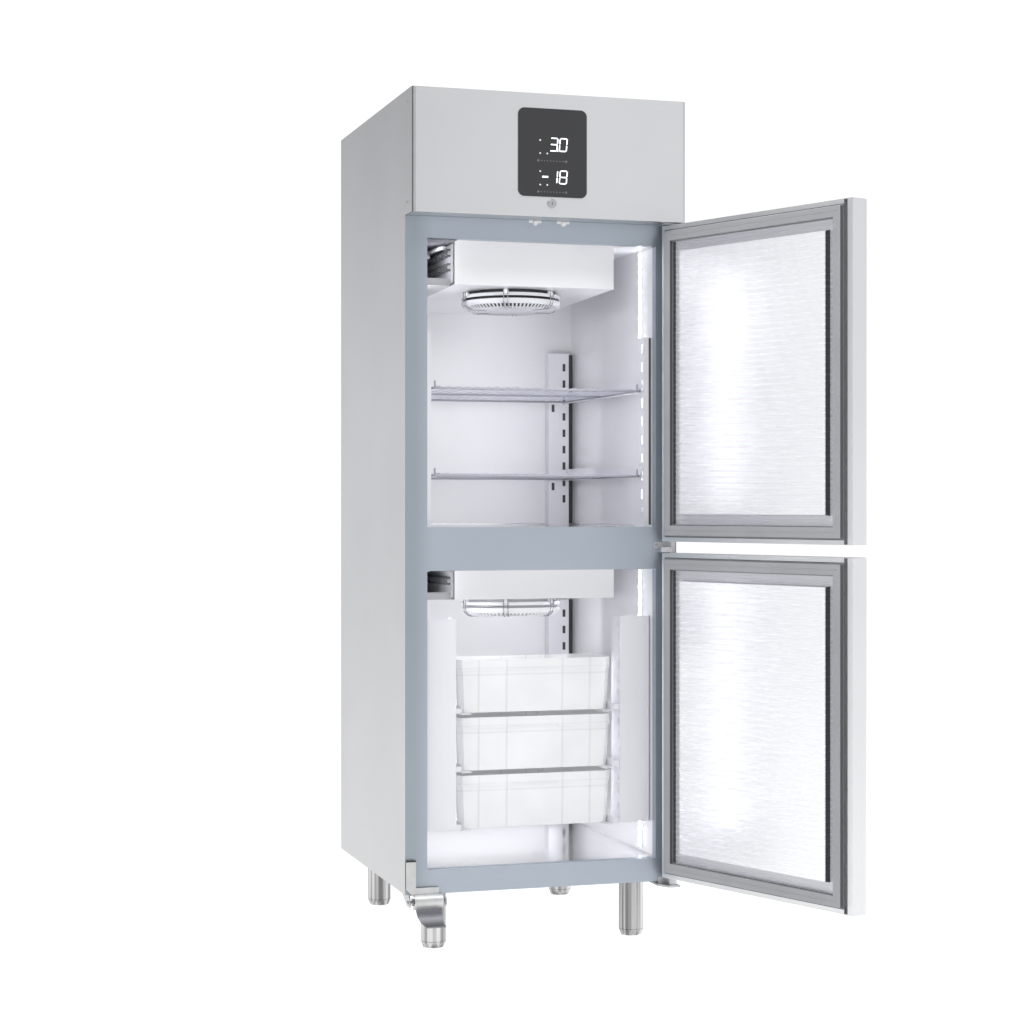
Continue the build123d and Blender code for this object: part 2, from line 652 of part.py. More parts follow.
def crate(level):
    """Plastic crate with ribbed, slightly tapered walls and a deep rim that falls to the back."""
    w, d, h = CRATE_SIZE
    t, low, high = CRATE_WALL, CRATE_INSET[0], CRATE_INSET[1]
    reach, fall = CRATE_SLOPE
    shoulder = h - CRATE_RIM
    body = tapered(low, high, 0, shoulder)
    ribs = tapered(low - CRATE_RIB, high - CRATE_RIB, 0, shoulder)
    body += [block(x - 2, x + 2, -d / 2, d / 2, 2, shoulder) & ribs for x in CRATE_RIB_X]
    rim = tapered(0, 0, shoulder - fall, h)
    rim -= prism_x([(-d, 0), (-d / 2 + reach, shoulder), (d / 2, shoulder - fall), (d, 0)], -w, w)
    rim -= block(-w, w, -d, -d / 2 + reach, 0, shoulder)
    shell = body + rim - tapered(low + t, high + t, t, shoulder)
    shell -= tapered(high + t, high + t, shoulder, h + 5)
    shell -= prism_x([(-d / 2 + reach, h), (d, h - fall * (1.5 * d - reach) / (d - reach)),
                      (d, h + 5), (-d / 2 + reach, h + 5)], -w, w)
    grip_x, grip_z = CRATE_GRIP
    shell -= block(-grip_x, grip_x, -d, -d / 2 + high + t / 2, shoulder - grip_z, shoulder + grip_z)
    return Pos(0, CRATE_FRONT + d / 2, level) * shell


def led_strips():
    """Four light bars on the side walls, behind the front uprights."""
    bars = []
    outline = [(WALL_X, 98), (WALL_X, 124), (WALL_X - 3, 122), (WALL_X - 7, 115),
               (WALL_X - 7, 107), (WALL_X - 3, 100)]
    for z0, z1 in ((UPPER_FLOOR + 34, UPPER_CEILING - 6), (LOWER_FLOOR + 14, LOWER_MOUTH_TOP - 6)):
        bar = prism_z(outline, z0, z1)
        bars += [bar, mirrored(bar)]
    return group(bars)


def closed_x(s):
    """x of a place on the closed door, s from its hinge edge."""
    return HINGE_EDGE - s


def opened(shape):
    """Swings a closed door piece to the open stop, about the hinge pins."""
    return Pos(*PIN, 0) * Rot(0, 0, OPEN_ANGLE) * Pos(-PIN[0], -PIN[1], 0) * shape


def door_solid(z0, z1, inset):
    """The door's full outer form, inset all round, with its large-radius free edge."""
    x0, x1 = closed_x(DOOR_WIDTH) + inset, HINGE_EDGE - inset
    solid = block(x0, x1, -DOOR_FRONT + inset, -DOOR_GAP, z0 + inset, z1 - inset)
    free, hinge = upright_edges(solid).group_by(Axis.Y)[0].sort_by(Axis.X)
    solid = fillet(free, DOOR_EDGE_RADIUS - inset)
    hinge = upright_edges(solid).group_by(Axis.Y)[0].sort_by(Axis.X)[-1]
    return fillet(hinge, 8 - inset)


def groove_edge():
    """x of the groove's inner wall, where the inner panel starts."""
    return closed_x(DOOR_WIDTH) + GROOVE[0] + GROOVE[1] + DOOR_SKIN


def groove_space(z0, z1, grow, ends):
    """The finger groove beside the free edge, with its sheet when grown."""
    edge, wide, deep = GROOVE
    x0 = closed_x(DOOR_WIDTH) + edge
    return block(x0 - grow, x0 + wide + grow, -DOOR_GAP - deep - grow, -DOOR_GAP + 1 - grow,
                 z0 + ends, z1 - ends)


def bush_pockets(z0, z1):
    """Hexagonal pockets for the hinge bushes in both ends of a door."""
    pin = Pos(*PIN, 0)
    return [pin * round_prism(BUSH_RADIUS, z0 - 2, z0 + BUSH_LENGTH, 6),
            pin * round_prism(BUSH_RADIUS, z1 - BUSH_LENGTH, z1 + 2, 6)]


def door_skin(z0, z1):
    """Outer pan with turned edges and the full-height finger groove formed in its return."""
    skin = door_solid(z0, z1, 0) - door_solid(z0, z1, DOOR_SKIN)
    edge = groove_edge()
    lip = block(closed_x(DOOR_WIDTH) + 1, HINGE_EDGE - 1, -DOOR_GAP - DOOR_SKIN, -DOOR_GAP, z0 + 1, z1 - 1)
    lip -= block(edge, HINGE_EDGE - TURN_IN, -DOOR_GAP - 5, 0, z0 + TURN_IN, z1 - TURN_IN)
    channel = groove_space(z0, z1, DOOR_SKIN, 0.5)
    return skin + lip + channel - groove_space(z0, z1, 0, DOOR_SKIN) - bush_pockets(z0, z1)


def panel_form(z0, z1, sink):
    """The inner panel's surface form, sunk by a sheet's thickness: border, channel and plateau."""
    form = block(groove_edge(), HINGE_EDGE - DOOR_SKIN, -DOOR_FRONT + DOOR_SKIN, -DOOR_GAP - sink,
                 z0 + DOOR_SKIN, z1 - DOOR_SKIN)
    pocket = GASKET_OUT + GASKET_BAND + 2 - sink
    form -= block(closed_x(DOOR_WIDTH - PANEL_POCKET) - sink, closed_x(PANEL_POCKET) + sink,
                  CHANNEL_LEVEL - sink, 5, z0 + pocket, z1 - pocket)
    x2, x3 = closed_x(DOOR_WIDTH - PLATEAU_SIDE) + sink, closed_x(PLATEAU_SIDE) - sink
    z2, z3 = z0 + PLATEAU_END + sink, z1 - PLATEAU_END - sink
    centre = Pos((x2 + x3) / 2, (z2 + z3) / 2)
    base = Plane.XZ.offset(-CHANNEL_LEVEL + 3) * centre * Rectangle(x3 - x2, z3 - z2)
    top = Plane.XZ.offset(-PLATEAU_LEVEL + sink) * centre * Rectangle(x3 - x2 - 6, z3 - z2 - 6)
    return form + loft([base, top], ruled=True)


def door_liner(z0, z1):
    """Pressed inner panel: border under the gasket, a channel and a raised plateau."""
    panel = panel_form(z0, z1, 0) - panel_form(z0, z1, SHEET)
    return panel & block(groove_edge(), HINGE_EDGE - TURN_IN, CHANNEL_LEVEL - SHEET - 3, 5,
                         z0 + TURN_IN, z1 - TURN_IN)


def door_core(z0, z1):
    """Foam in three slabs that leave the finger groove open: panel, behind the groove, free edge."""
    inside = door_solid(z0, z1, DOOR_SKIN) & block(-400, 400, -100, -DOOR_GAP - DOOR_SKIN, z0, z1)
    inside += block(closed_x(DOOR_WIDTH - 60), closed_x(60), -20, 0, z0 + 60, z1 - 60)
    x_main = groove_edge()
    x_edge = closed_x(DOOR_WIDTH) + GROOVE[0] - DOOR_SKIN
    main = (inside & panel_form(z0, z1, SHEET)) - bush_pockets(z0, z1)
    behind = inside & block(x_edge, x_main, -100, -DOOR_GAP - GROOVE[2] - DOOR_SKIN, z0, z1)
    return group([main, behind, inside & block(-400, x_edge, -100, 0, z0, z1)])


def door_gasket(z0, z1):
    """Magnetic seal: a thin base flange with a full-height bead, clear of the swinging frame."""
    def frame(out_hinge, out, band, y0, y1):
        x0, x1 = closed_x(DOOR_WIDTH - 30), closed_x(out_hinge)
        ring = block(x0, x1, y0, y1, z0 + out, z1 - out)
        return ring - block(x0 + band, x1 - band, y0 - 1, y1 + 1, z0 + out + band, z1 - out - band)
    base = frame(GASKET_HINGE_OUT - 4, GASKET_OUT - 2, GASKET_BAND + 2, -DOOR_GAP, -DOOR_GAP + 4)
    bead = frame(GASKET_HINGE_OUT, GASKET_OUT, GASKET_BAND, -DOOR_GAP + 3, -0.5)
    return base + bead


def door_bushes(z0, z1):
    """Nylon bushes on the hinge pins, a little proud of the door's ends to carry it."""
    pin = Pos(*PIN, 0)
    bushes = [pin * round_prism(BUSH_RADIUS, z0 - BUSH_PROUD, z0 + BUSH_LENGTH, 6),
              pin * round_prism(BUSH_RADIUS, z1 - BUSH_LENGTH, z1 + BUSH_PROUD, 6)]
    return group([bush - rod_z(*PIN, BORE_RADIUS, z0 - 5, z1 + 5) for bush in bushes])


def hinge_brackets():
    """Top plate, middle arm and bottom plate, each with its welded pins."""
    px, py = PIN
    top_z = UPPER_DOOR[1] + HINGE_GAP
    x0, x1 = HINGE_X
    t = HINGE_SHEET
    top = block(x0, x1 + 1, -48, 0, top_z, top_z + t) + block(x0, x1 + 1, -t, 0, top_z, top_z + 32)
    top += rod_z(px, py, PIN_RADIUS, top_z - BUSH_LENGTH, top_z + 3)
    low, high = LOWER_DOOR[1] + HINGE_GAP, UPPER_DOOR[0] - HINGE_GAP
    arm = [(x0, -t), (334, -t), (336, -27), (332, -38), (325, -39), (304, -16)]
    middle = prism_z(arm, low, low + HINGE_ARM)
    middle += Pos(px, py, 0) * round_prism(HINGE_COLLAR, low, high, 12)
    middle += block(288, 304, -t, 0, low + 11, high + 0.5) + block(x0, x1, -t, 0, low - 0.5, high + 0.5)
    middle += rod_z(px, py, PIN_RADIUS, low - BUSH_LENGTH, high + BUSH_LENGTH)
    z = LOWER_DOOR[0] - HINGE_GAP
    outline = [(296, 60), (x1, 60), (x1, -48), (314, -48), (296, -14)]
    bottom = prism_z(outline, LEG_HEIGHT - 10, LEG_HEIGHT - 5)
    bottom += block(x0, x1, 10, 56, LEG_HEIGHT - 6, LEG_HEIGHT) + block(x0, x1, -t, 0, LEG_HEIGHT - 8, z)
    bottom += Pos(px, py, 0) * round_prism(10, LEG_HEIGHT - 10, z)
    bottom += rod_z(px, py, PIN_RADIUS, LEG_HEIGHT - 5, z + BUSH_LENGTH)
    return group([top, middle, bottom])


def foot_places():
    return [(sx * FOOT_X, y) for y in FOOT_Y for sx in (-1, 1)]


def foot_sleeves():
    """Stainless sleeves under the base, bored for the hexagonal studs of the feet."""
    sleeves = []
    for x, y in foot_places():
        bore = Pos(x, y, 0) * round_prism(FOOT_STUD + 0.4, 0, LEG_HEIGHT - 4, 6)
        sleeves.append(rod_z(x, y, FOOT_RADIUS, FOOT_SPLIT + RUN_GAP, LEG_HEIGHT) - bore)
    return group(sleeves)


def foot(x, y):
    """Adjustable foot: a tapered end with a stud that runs in its sleeve."""
    end = turned([(FOOT_RADIUS - 6, 0), (FOOT_RADIUS, FOOT_SPLIT)])
    return Pos(x, y, 0) * (end + round_prism(FOOT_STUD, 1, LEG_HEIGHT - 12, 6))


def pedal_bracket():
    """Two cheeks under the base that carry the pedal's pin."""
    y, z = PEDAL_PIVOT
    top = LEG_HEIGHT
    plate = block(-341, -248, 4, 54, top - 3, top)
    front = [(18, 116), (-6, 116), (-10, 121), (-4, top - 8), (2, top - 3), (2, top)]
    left = prism_x([(80, top), (80, top - 4)] + front, -341, -338)
    right = prism_x([(54, top), (54, top - 6)] + front, -251, -248)
    return plate + left + right + rod_x(y, z, 4, -344, -245)


def pedal_lever():
    """Foot lever: a barrel on the pin, an L-shaped pusher before the frame and a curved tread."""
    y, z = PEDAL_PIVOT
    x0, x1 = PEDAL_X
    front, t = PEDAL_FRONT, PEDAL_SHEET
    barrel = block(x0, x1, y - 8, y + 8, z - 8, z + 8) + block(x0, x1, front - 14, y, z - 3, z)
    bulge = pedal_arc(front, 130, 18) & block(x0, x1, front - 30, front + t, 100, 160)
    tread = pedal_arc(front - 41, 115, 44) & block(x0, x1, front - 41, front + 10, 60, 116)
    tread -= prism_y([(x0 - 1, 111), (x0 + 6, 111), (x0 + 9, 93), (x0 + 15, 80), (x0 + 26, 70), (x0 + 29, 60),
                      (x0 - 1, 60)], front - 45, front + 15)
    pusher = prism_y([(-349, 230), (-325, 230), (-325, 163), (-268, 163), (-268, 142), (-331, 142),
                      (-349, 160)], front, front + t)
    return barrel + bulge + tread + pusher - rod_x(y, z, BORE_RADIUS, x0 - 1, x1 + 1)


def pedal_arc(y, z, radius):
    """A round sheet tube across the pedal, of which the lever keeps a part."""
    ring = Circle(radius) - Circle(radius - PEDAL_SHEET)
    return extrude(Plane.YZ.offset(PEDAL_X[0]) * Pos(y, z) * ring, PEDAL_X[1] - PEDAL_X[0])


def screws():
    """Hexagon screws of the hinges and the fascia."""
    def head_y(x, z):
        return facing(x, -HINGE_SHEET, z) * round_prism(4.5, 0, 2.5, 6)

    def head_x(y, z):
        return extrude(Plane.YZ.offset(WIDTH / 2) * Pos(y, z) * RegularPolygon(4.0, 6), 2.0)
    heads = [head_y(x, UPPER_DOOR[1] + 22) for x in (309, 336)] + [head_y(296, UPPER_DOOR[0] - 9)]
    side = [head_x(-22, z) for z in (FASCIA_BOTTOM + 30, HEIGHT - 30)]
    return group(heads + side + [mirrored(s) for s in side])


def door_nodes(name, z0, z1):
    return {
        f"{name}_door_skin": opened(door_skin(z0, z1)),
        f"{name}_door_core": opened(door_core(z0, z1)),
        f"{name}_door_liner": opened(door_liner(z0, z1)),
        f"{name}_door_gasket": opened(door_gasket(z0, z1)),
        f"{name}_door_bushes": opened(door_bushes(z0, z1)),
    }


def cabinet_nodes():
    left = side_panel()
    return {
        "side_panel_left": left,
        "side_panel_right": mirrored(left),
        "rear_panel": rear_panel(),
        "base_panel": base_panel(),
        "front_frame": front_frame(),
        "cabinet_insulation": cabinet_insulation(),
        "upper_liner": liner(UPPER_FLOOR, UPPER_CEILING, UPPER_CEILING),
        "lower_liner": liner(LOWER_FLOOR, LOWER_CEILING, LOWER_MOUTH_TOP),
        "hinge_brackets": hinge_brackets(),
        "foot_sleeves": foot_sleeves(),
        "screws": screws(),
    }


def bay_nodes():
    return {
        "fascia": fascia(),
        "display_panel": display_panel(),
        "lock_cylinder": lock_cylinder(),
        "switch_bodies": switch_bodies(),
        "switch_plunger_left": switch_plunger(SWITCH_X[0]),
        "switch_plunger_right": switch_plunger(SWITCH_X[1]),
        "technical_deck": technical_deck(),
        "compressors": compressors(),
        "condenser_coil": condenser_coil(),
        "condenser_fan_frame": condenser_fan_frame(),
        "condenser_fan_rotor": condenser_fan_rotor(),
        "electric_box": electric_box(),
        "refrigerant_pipes": refrigerant_pipes(),
    }


def compartment_nodes():
    nodes = {
        "evaporator_fan_motors": evaporator_fan_motors(),
        "upper_rack_posts": upper_rack_posts(),
        "lower_rack_posts": lower_rack_posts(),
        "lower_spacer_panels": lower_spacer_panels(),
        "shelf_runners": shelf_runners(),
        "crate_runners": crate_runners(),
        "led_strips": led_strips(),
        "wire_shelf_upper": wire_shelf(SHELF_LEVELS[0]),
        "wire_shelf_lower": wire_shelf(SHELF_LEVELS[1]),
    }
    for name, ceiling in (("upper", UPPER_CEILING), ("lower", LOWER_CEILING)):
        nodes[f"{name}_evaporator_housing"] = evaporator_housing(ceiling)
        nodes[f"{name}_evaporator_coil"] = evaporator_coil(ceiling)
        nodes[f"{name}_fan_rotor"] = evaporator_rotor(ceiling)
        nodes[f"{name}_fan_guard"] = fan_guard(ceiling)
    for name, level in zip(("top", "middle", "bottom"), CRATE_LEVELS):
        nodes[f"crate_{name}"] = crate(level)
    return nodes


def foot_nodes():
    names = ("foot_front_left", "foot_front_right", "foot_rear_left", "foot_rear_right")
    return {name: foot(x, y) for name, (x, y) in zip(names, foot_places())}


def main():
    nodes = {**cabinet_nodes(), **bay_nodes(), **compartment_nodes(), **foot_nodes()}
    nodes.update(door_nodes("upper", *UPPER_DOOR))
    nodes.update(door_nodes("lower", *LOWER_DOOR))
    nodes["pedal_bracket"] = pedal_bracket()
    nodes["pedal_lever"] = pedal_lever()
    centre = group(nodes.values()).bounding_box().center()
    print("origin at", centre.X, centre.Y, "nodes", len(nodes))
    os.makedirs("parts", exist_ok=True)
    for name, shape in nodes.items():
        export_step(Pos(-centre.X, -centre.Y, 0) * shape, f"parts/{name}.step")


main()
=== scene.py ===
import math

import bpy
import numpy as np
from bpy.props import FloatProperty, FloatVectorProperty, PointerProperty
from mathutils import Matrix, Vector


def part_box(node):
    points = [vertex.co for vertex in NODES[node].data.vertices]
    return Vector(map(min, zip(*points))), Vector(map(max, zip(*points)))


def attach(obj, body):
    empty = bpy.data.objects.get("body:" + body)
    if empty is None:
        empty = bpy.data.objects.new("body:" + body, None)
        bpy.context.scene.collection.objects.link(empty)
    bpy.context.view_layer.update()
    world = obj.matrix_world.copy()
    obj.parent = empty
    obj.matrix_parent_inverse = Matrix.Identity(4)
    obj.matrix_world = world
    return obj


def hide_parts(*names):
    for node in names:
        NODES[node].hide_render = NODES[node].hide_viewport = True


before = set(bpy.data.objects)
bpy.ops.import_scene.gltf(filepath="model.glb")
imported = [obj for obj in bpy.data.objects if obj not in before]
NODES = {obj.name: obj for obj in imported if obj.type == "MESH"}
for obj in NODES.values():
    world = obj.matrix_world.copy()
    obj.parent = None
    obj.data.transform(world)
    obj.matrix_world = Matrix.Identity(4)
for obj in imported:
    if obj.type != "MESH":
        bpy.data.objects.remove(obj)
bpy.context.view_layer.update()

bl_info = {
    "name": "Two-compartment upright refrigerator",
    "version": (1, 0, 0),
    "blender": (4, 5, 0),
    "location": "View3D > Sidebar > Refrigerator",
    "description": "Finishes and fine pieces of an upright refrigerator with two doors",
    "category": "Object",
}

FRAME_LOW, FRAME_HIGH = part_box("front_frame")
# The cabinet's own origin: middle of its width, front of the face frame, floor. All places below
# are metres from it.
ORIGIN = np.array([(FRAME_LOW.x + FRAME_HIGH.x) / 2, FRAME_LOW.y, 0.0])

# Doors: hinge pin, angle at rest, heights and gap to the face frame.
PIN = (0.329, -0.032)
OPEN = math.radians(109.6)
DOORS = {"upper": (1.0035, 1.796), "lower": (0.159, 0.9745)}
DOOR_GAP = 0.012
# Levels on the inner side of a door, above its closed face plane.
PLATEAU_LEVEL, SHADED_WALL_LEVEL, CHANNEL_LEVEL = -0.0035, -0.0162, -0.020
SEAL_FACE, SEAL_WALL, SEAL_FOOT = -0.0013, -0.0082, -0.014
LIP_LEVEL, SKIN_LEVEL = -0.004, -0.07
RIPPLE_PITCH = 0.0145

# Compartments: ceilings and floors, the evaporator trays below the ceilings, the lights, the
# rear posts, the shelves and the crates.
CEILINGS = {"upper": 1.7475, "lower": 0.966}
FLOORS = (0.205, 1.0405)
TRAY_FRONT, TRAY_RUN, TRAY_FALL, TRAY_DROP = 0.060, 0.677, 0.014, 0.1055
FAN_X, FAN_Y = -0.022, 0.225
WING_EDGE = -0.2132
LIGHT_BARS = ((1.0745, 1.7415), (0.219, 0.928))
LIGHT_PITCH, LIGHT_CROWN = 0.023, 0.2905
POSTS = (("upper", 1.0405, 1.520), ("lower", 0.205, 0.830))
SHELF_WIDTH, SHELF_FRONT, SHELF_BACK, SHELF_PITCH = 0.546, 0.050, 0.700, 0.025
CRATE_FLOOR, CRATE_PITCH = 0.2892, 0.144
COIL_END = -0.2138

# Display: each digit's lower left corner, then dot, minus, small marks and key rows, as x and z.
DIGITS = (("3", -0.0055, 1.963), ("0", 0.0185, 1.963), ("1", -0.006, 1.8835), ("8", 0.0185, 1.8835))
DOT = (0.0145, 1.9632)
MINUS = ((-0.025, 1.8965), (-0.010, 1.8965), (-0.0095, 1.9008), (-0.0245, 1.9008))
MARKS = ((-0.030, 1.988), (-0.030, 1.956), (-0.012, 1.956), (-0.030, 1.912), (-0.030, 1.879),
         (-0.012, 1.879))
KEY_ROWS, KEY_ENDS, KEYS = (1.938, 1.862), (-0.035, 0.036), 10

# Brushing directions, as scales of the noise along x, y and z.
ACROSS = (6.0, 6.0, 2600.0)
UPRIGHT = (1800.0, 1800.0, 5.0)
DEPTHWAYS = (1500.0, 6.0, 1500.0)

# Studio: the camera's place and shift, and the floor.
CAMERA_PLACE, CAMERA_SHIFT = (-1.5790, -5.4045, 1.0964), (-0.1209, -0.0073)
FLOOR_HALF, FLOOR_COLOUR, FLOOR_GLOW = 14.0, (0.25, 0.25, 0.25), 3.7
WHITE = (1.0, 1.0, 1.0)


# ---------------------------------------------------------------- sizes and colours

def length(name, description, default):
    return FloatProperty(name=name, description=description, default=default, unit="LENGTH")


def tint(name, description, default):
    return FloatVectorProperty(name=name, description=description, default=default,
                               subtype="COLOR", min=0, max=1)


def power(name, description, default):
    return FloatProperty(name=name, description=description, default=default, subtype="POWER")


class FridgeSizes(bpy.types.PropertyGroup):
    """Sizes of the pieces that are shaped here, in metres."""
    digit_height: length("Digit height", "Height of a display digit", 0.031)
    segment_width: length("Segment width", "Width of one lit segment", 0.0029)
    guard_radius: length("Guard radius", "Outer radius of a fan guard", 0.130)
    guard_drop: length("Guard drop", "Depth of a fan guard below its tray", 0.046)
    wire_radius: length("Shelf wire radius", "Radius of a shelf's close wires", 0.0015)
    foot_radius: length("Foot radius", "Radius of a foot at its sleeve", 0.0315)


class FridgeColours(bpy.types.PropertyGroup):
    """Base colours of the finishes, linear RGB."""
    panel: tint("Outer panels", "Brushed stainless outside", (0.63, 0.634, 0.643))
    face: tint("Face frame", "Steel round the two openings", (0.36, 0.40, 0.45))
    liner: tint("Liners", "Steel inside the compartments", (0.82, 0.82, 0.842))
    seal: tint("Door seals", "Grey magnetic seal", (0.36, 0.365, 0.385))
    plate: tint("Display plate", "Dark control plate", (0.0225, 0.0225, 0.024))
    crate: tint("Crates", "White crate plastic", (0.84, 0.845, 0.855))
    door: tint("Door panels", "Raised inner panels of the doors", (0.93, 0.935, 0.96))
    lit: tint("Lit digits", "Colour of the lit segments", (0.92, 0.95, 1.0))


class FridgeStudio(bpy.types.PropertyGroup):
    """The camera and the lights."""
    lens: FloatProperty(name="Lens", description="Focal length of the camera in millimetres",
                        default=79.7, unit="CAMERA")
    yaw: FloatProperty(name="Yaw", description="Turn of the camera towards the right",
                       default=math.radians(18.62), subtype="ANGLE")
    room_light: FloatProperty(name="Room light", description="Strength of the surrounding light",
                              default=0.9)
    key_light: power("Key light", "Power of the large light overhead", 420.0)
    front_light: power("Front light", "Power of the light before the cabinet", 8.4)
    inner_light: power("Inner light", "Power of each light bar", 0.6)
    fill_light: power("Fill light", "Power of the soft light in the upper opening", 0.34)
    coil_light: power("Coil light", "Power of the light on each coil's end", 0.035)
    gleam_light: power("Gleam light", "Power of the gleam on each door", 0.22)
    deep_light: power("Deep light", "Power of the soft lights before the back walls", 0.60)


def sizes():
    return bpy.context.scene.fridge_sizes


def colours():
    return bpy.context.scene.fridge_colours


# ---------------------------------------------------------------- surfaces as arrays

def grid_faces(rows, cols, close_rows=False, close_cols=False):
    """Quads of a grid of rows x cols points, each joining a point, its right neighbour and the
    two below, with the last row or column joined to the first where it is closed."""
    r = np.arange(rows if close_rows else rows - 1)[:, None]
    c = np.arange(cols if close_cols else cols - 1)[None, :]
    r1, c1 = (r + 1) % rows, (c + 1) % cols
    quads = [r * cols + c, r * cols + c1, r1 * cols + c1, r1 * cols + c]
    return np.stack([np.broadcast_to(q, (r.size, c.size)) for q in quads], -1).reshape(-1, 4)


def turned(profile, segments):
    """A (radius, height) outline turned about z: each point at angle a stands at
    (radius cos a, radius sin a, height)."""
    a = np.linspace(0, 2 * math.pi, segments, endpoint=False)
    return np.stack([np.outer(np.cos(a), profile[:, 0]), np.outer(np.sin(a), profile[:, 0]),
                     np.broadcast_to(profile[:, 1], (segments, len(profile)))], -1).reshape(-1, 3)


def ring_profile(profile, segments):
    """A closed (radius, height) outline turned about z to a ring."""
    p = np.asarray(profile, float)
    return turned(p, segments), grid_faces(segments, len(p), True, True)


def turned_form(profile, segments):
    """An open (radius, height) outline turned about z, with its two ends drawn to the axis, where
    all points of a ring meet in one: radius 0 at both ends closes the poles."""
    p = np.asarray(profile, float)
    body, n = turned(p[1:-1], segments), len(p) - 2
    i = np.arange(segments)
    j = (i + 1) % segments
    low = np.stack([np.full(segments, len(body)), j * n, i * n], -1)
    high = np.stack([np.full(segments, len(body) + 1), i * n + n - 1, j * n + n - 1], -1)
    points = np.vstack([body, [[0, 0, p[0, 1]], [0, 0, p[-1, 1]]]])
    return points, [grid_faces(segments, n, True, False), low, high]


def tube(path, radius, sides=8, closed=False):
    """A round bar along a path: at each path point a ring of the radius, square to the mean of
    the two neighbouring runs, with flat end caps unless the path is closed."""
    path = np.asarray(path, float)
    run = np.roll(path, -1, 0) - np.roll(path, 1, 0) if closed else np.gradient(path, axis=0)
    run /= np.linalg.norm(run, axis=1)[:, None]
    u = np.cross(run, np.where(np.abs(run[:, 2:3]) > 0.9, [[1.0, 0, 0]], [[0, 0, 1.0]]))
    u /= np.linalg.norm(u, axis=1)[:, None]
    v = np.cross(run, u)
    a = np.linspace(0, 2 * math.pi, sides, endpoint=False)
    ring = np.cos(a)[None, :, None] * u[:, None] + np.sin(a)[None, :, None] * v[:, None]
    points = (path[:, None] + radius * ring).reshape(-1, 3)
    quads = grid_faces(len(path), sides, closed, True)[:, ::-1]
    if closed:
        return points, quads
    start = np.arange(sides)[None, :]
    return points, [quads, start, (len(path) - 1) * sides + start[:, ::-1]]


def bar(low, high, edge):
    """A rectangular bar between two corners whose twelve edges are cut back: each corner gives
    three points, one on each of its faces, moved in by the edge size."""
    low, high = np.asarray(low, float), np.asarray(high, float)
    signs = np.array([[x, y, z] for x in (0, 1) for y in (0, 1) for z in (0, 1)])
    corner = np.where(signs, high, low)
    inward = np.where(signs, -1.0, 1.0) * edge
    mask = 1.0 - np.eye(3)
    points = (corner[:, None] + inward[:, None] * mask[None]).reshape(-1, 3)
    return points, [np.asarray(f) for f in BAR_FACES]


def bar_faces():
    """Six faces, twelve edge strips and eight corner triangles of a bar, by corner index
    4x + 2y + z and face axis, worked out once."""
    def vertex(x, y, z, axis):
        return 3 * (4 * x + 2 * y + z) + axis
    quads, corners = [], []
    for axis in range(3):
        b, c = (axis + 1) % 3, (axis + 2) % 3
        for side in (0, 1):
            loop = []
            for db, dc in ((0, 0), (1, 0), (1, 1), (0, 1)):
                k = [0, 0, 0]
                k[axis], k[b], k[c] = side, db, dc
                loop.append(vertex(*k, axis))
            quads.append(loop if side else loop[::-1])
    for axis in range(3):
        b, c = (axis + 1) % 3, (axis + 2) % 3
        for db, dc in ((0, 0), (0, 1), (1, 0), (1, 1)):
            k0, k1 = [0, 0, 0], [0, 0, 0]
            k0[b] = k1[b] = db
            k0[c] = k1[c] = dc
            k1[axis] = 1
            loop = [vertex(*k0, b), vertex(*k1, b), vertex(*k1, c), vertex(*k0, c)]
            quads.append(loop if db == dc else loop[::-1])
    for k in range(8):
        x, y, z = k // 4, k // 2 % 2, k % 2
        loop = [vertex(x, y, z, axis) for axis in range(3)]
        corners.append(loop if (x + y + z) % 2 else loop[::-1])
    return [quads, corners]


BAR_FACES = bar_faces()


def plate(outline, depth):
    """A flat (x, z) outline given a thickness: its front at y 0 and its back at y depth, joined by
    a strip round the edge."""
    o = np.asarray(outline, float)
    n = len(o)
    front = np.stack([o[:, 0], np.zeros(n), o[:, 1]], -1)
    i = np.arange(n)
    j = (i + 1) % n
    strip = np.stack([i, i + n, j + n, j], -1)
    return np.vstack([front, front + [0, depth, 0]]), [strip, i[None, :], (i[::-1] + n)[None, :]]


def blocks_of(faces):
    return faces if isinstance(faces, list) else [faces]


def joined(parts):
    """Several (points, faces) as one."""
    points, faces, shift = [], [], 0
    for p, f in parts:
        points.append(p)
        faces += [block + shift for block in blocks_of(f)]
        shift += len(p)
    return np.vstack(points), faces


def moved(part, matrix):
    """The part carried by a 4x4 matrix."""
    m = np.array(matrix)
    return part[0] @ m[:3, :3].T + m[:3, 3], part[1]


def shifted(part, x, y, z):
    return part[0] + np.array([x, y, z]), part[1]


def framed(outline, low, high):
    """An outline of (inset, level) points carried round a rectangle in x and z with mitred corners:
    each point stands in by its inset from all four sides, at y equal to its level."""
    o = np.asarray(outline, float)
    inset = o[:, 0][None, :]
    right, up = np.array([[1, -1, -1, 1], [1, 1, -1, -1]])[:, :, None]
    x = np.where(right > 0, low[0], high[0]) + right * inset
    z = np.where(up > 0, low[1], high[1]) + up * inset
    y = np.broadcast_to(o[:, 1][None, :], x.shape)
    return np.stack([x, y, z], -1).reshape(-1, 3), grid_faces(4, len(o), True, True)


def outward(part):
    """The part with its faces turned so that its signed volume is positive."""
    points, faces = part
    volume = sum((points[b[:, 0]] * np.cross(points[b[:, k - 1]], points[b[:, k]])).sum()
                 for b in blocks_of(faces) for k in range(2, b.shape[1]))
    return points, [b if volume > 0 else b[:, ::-1] for b in blocks_of(faces)]


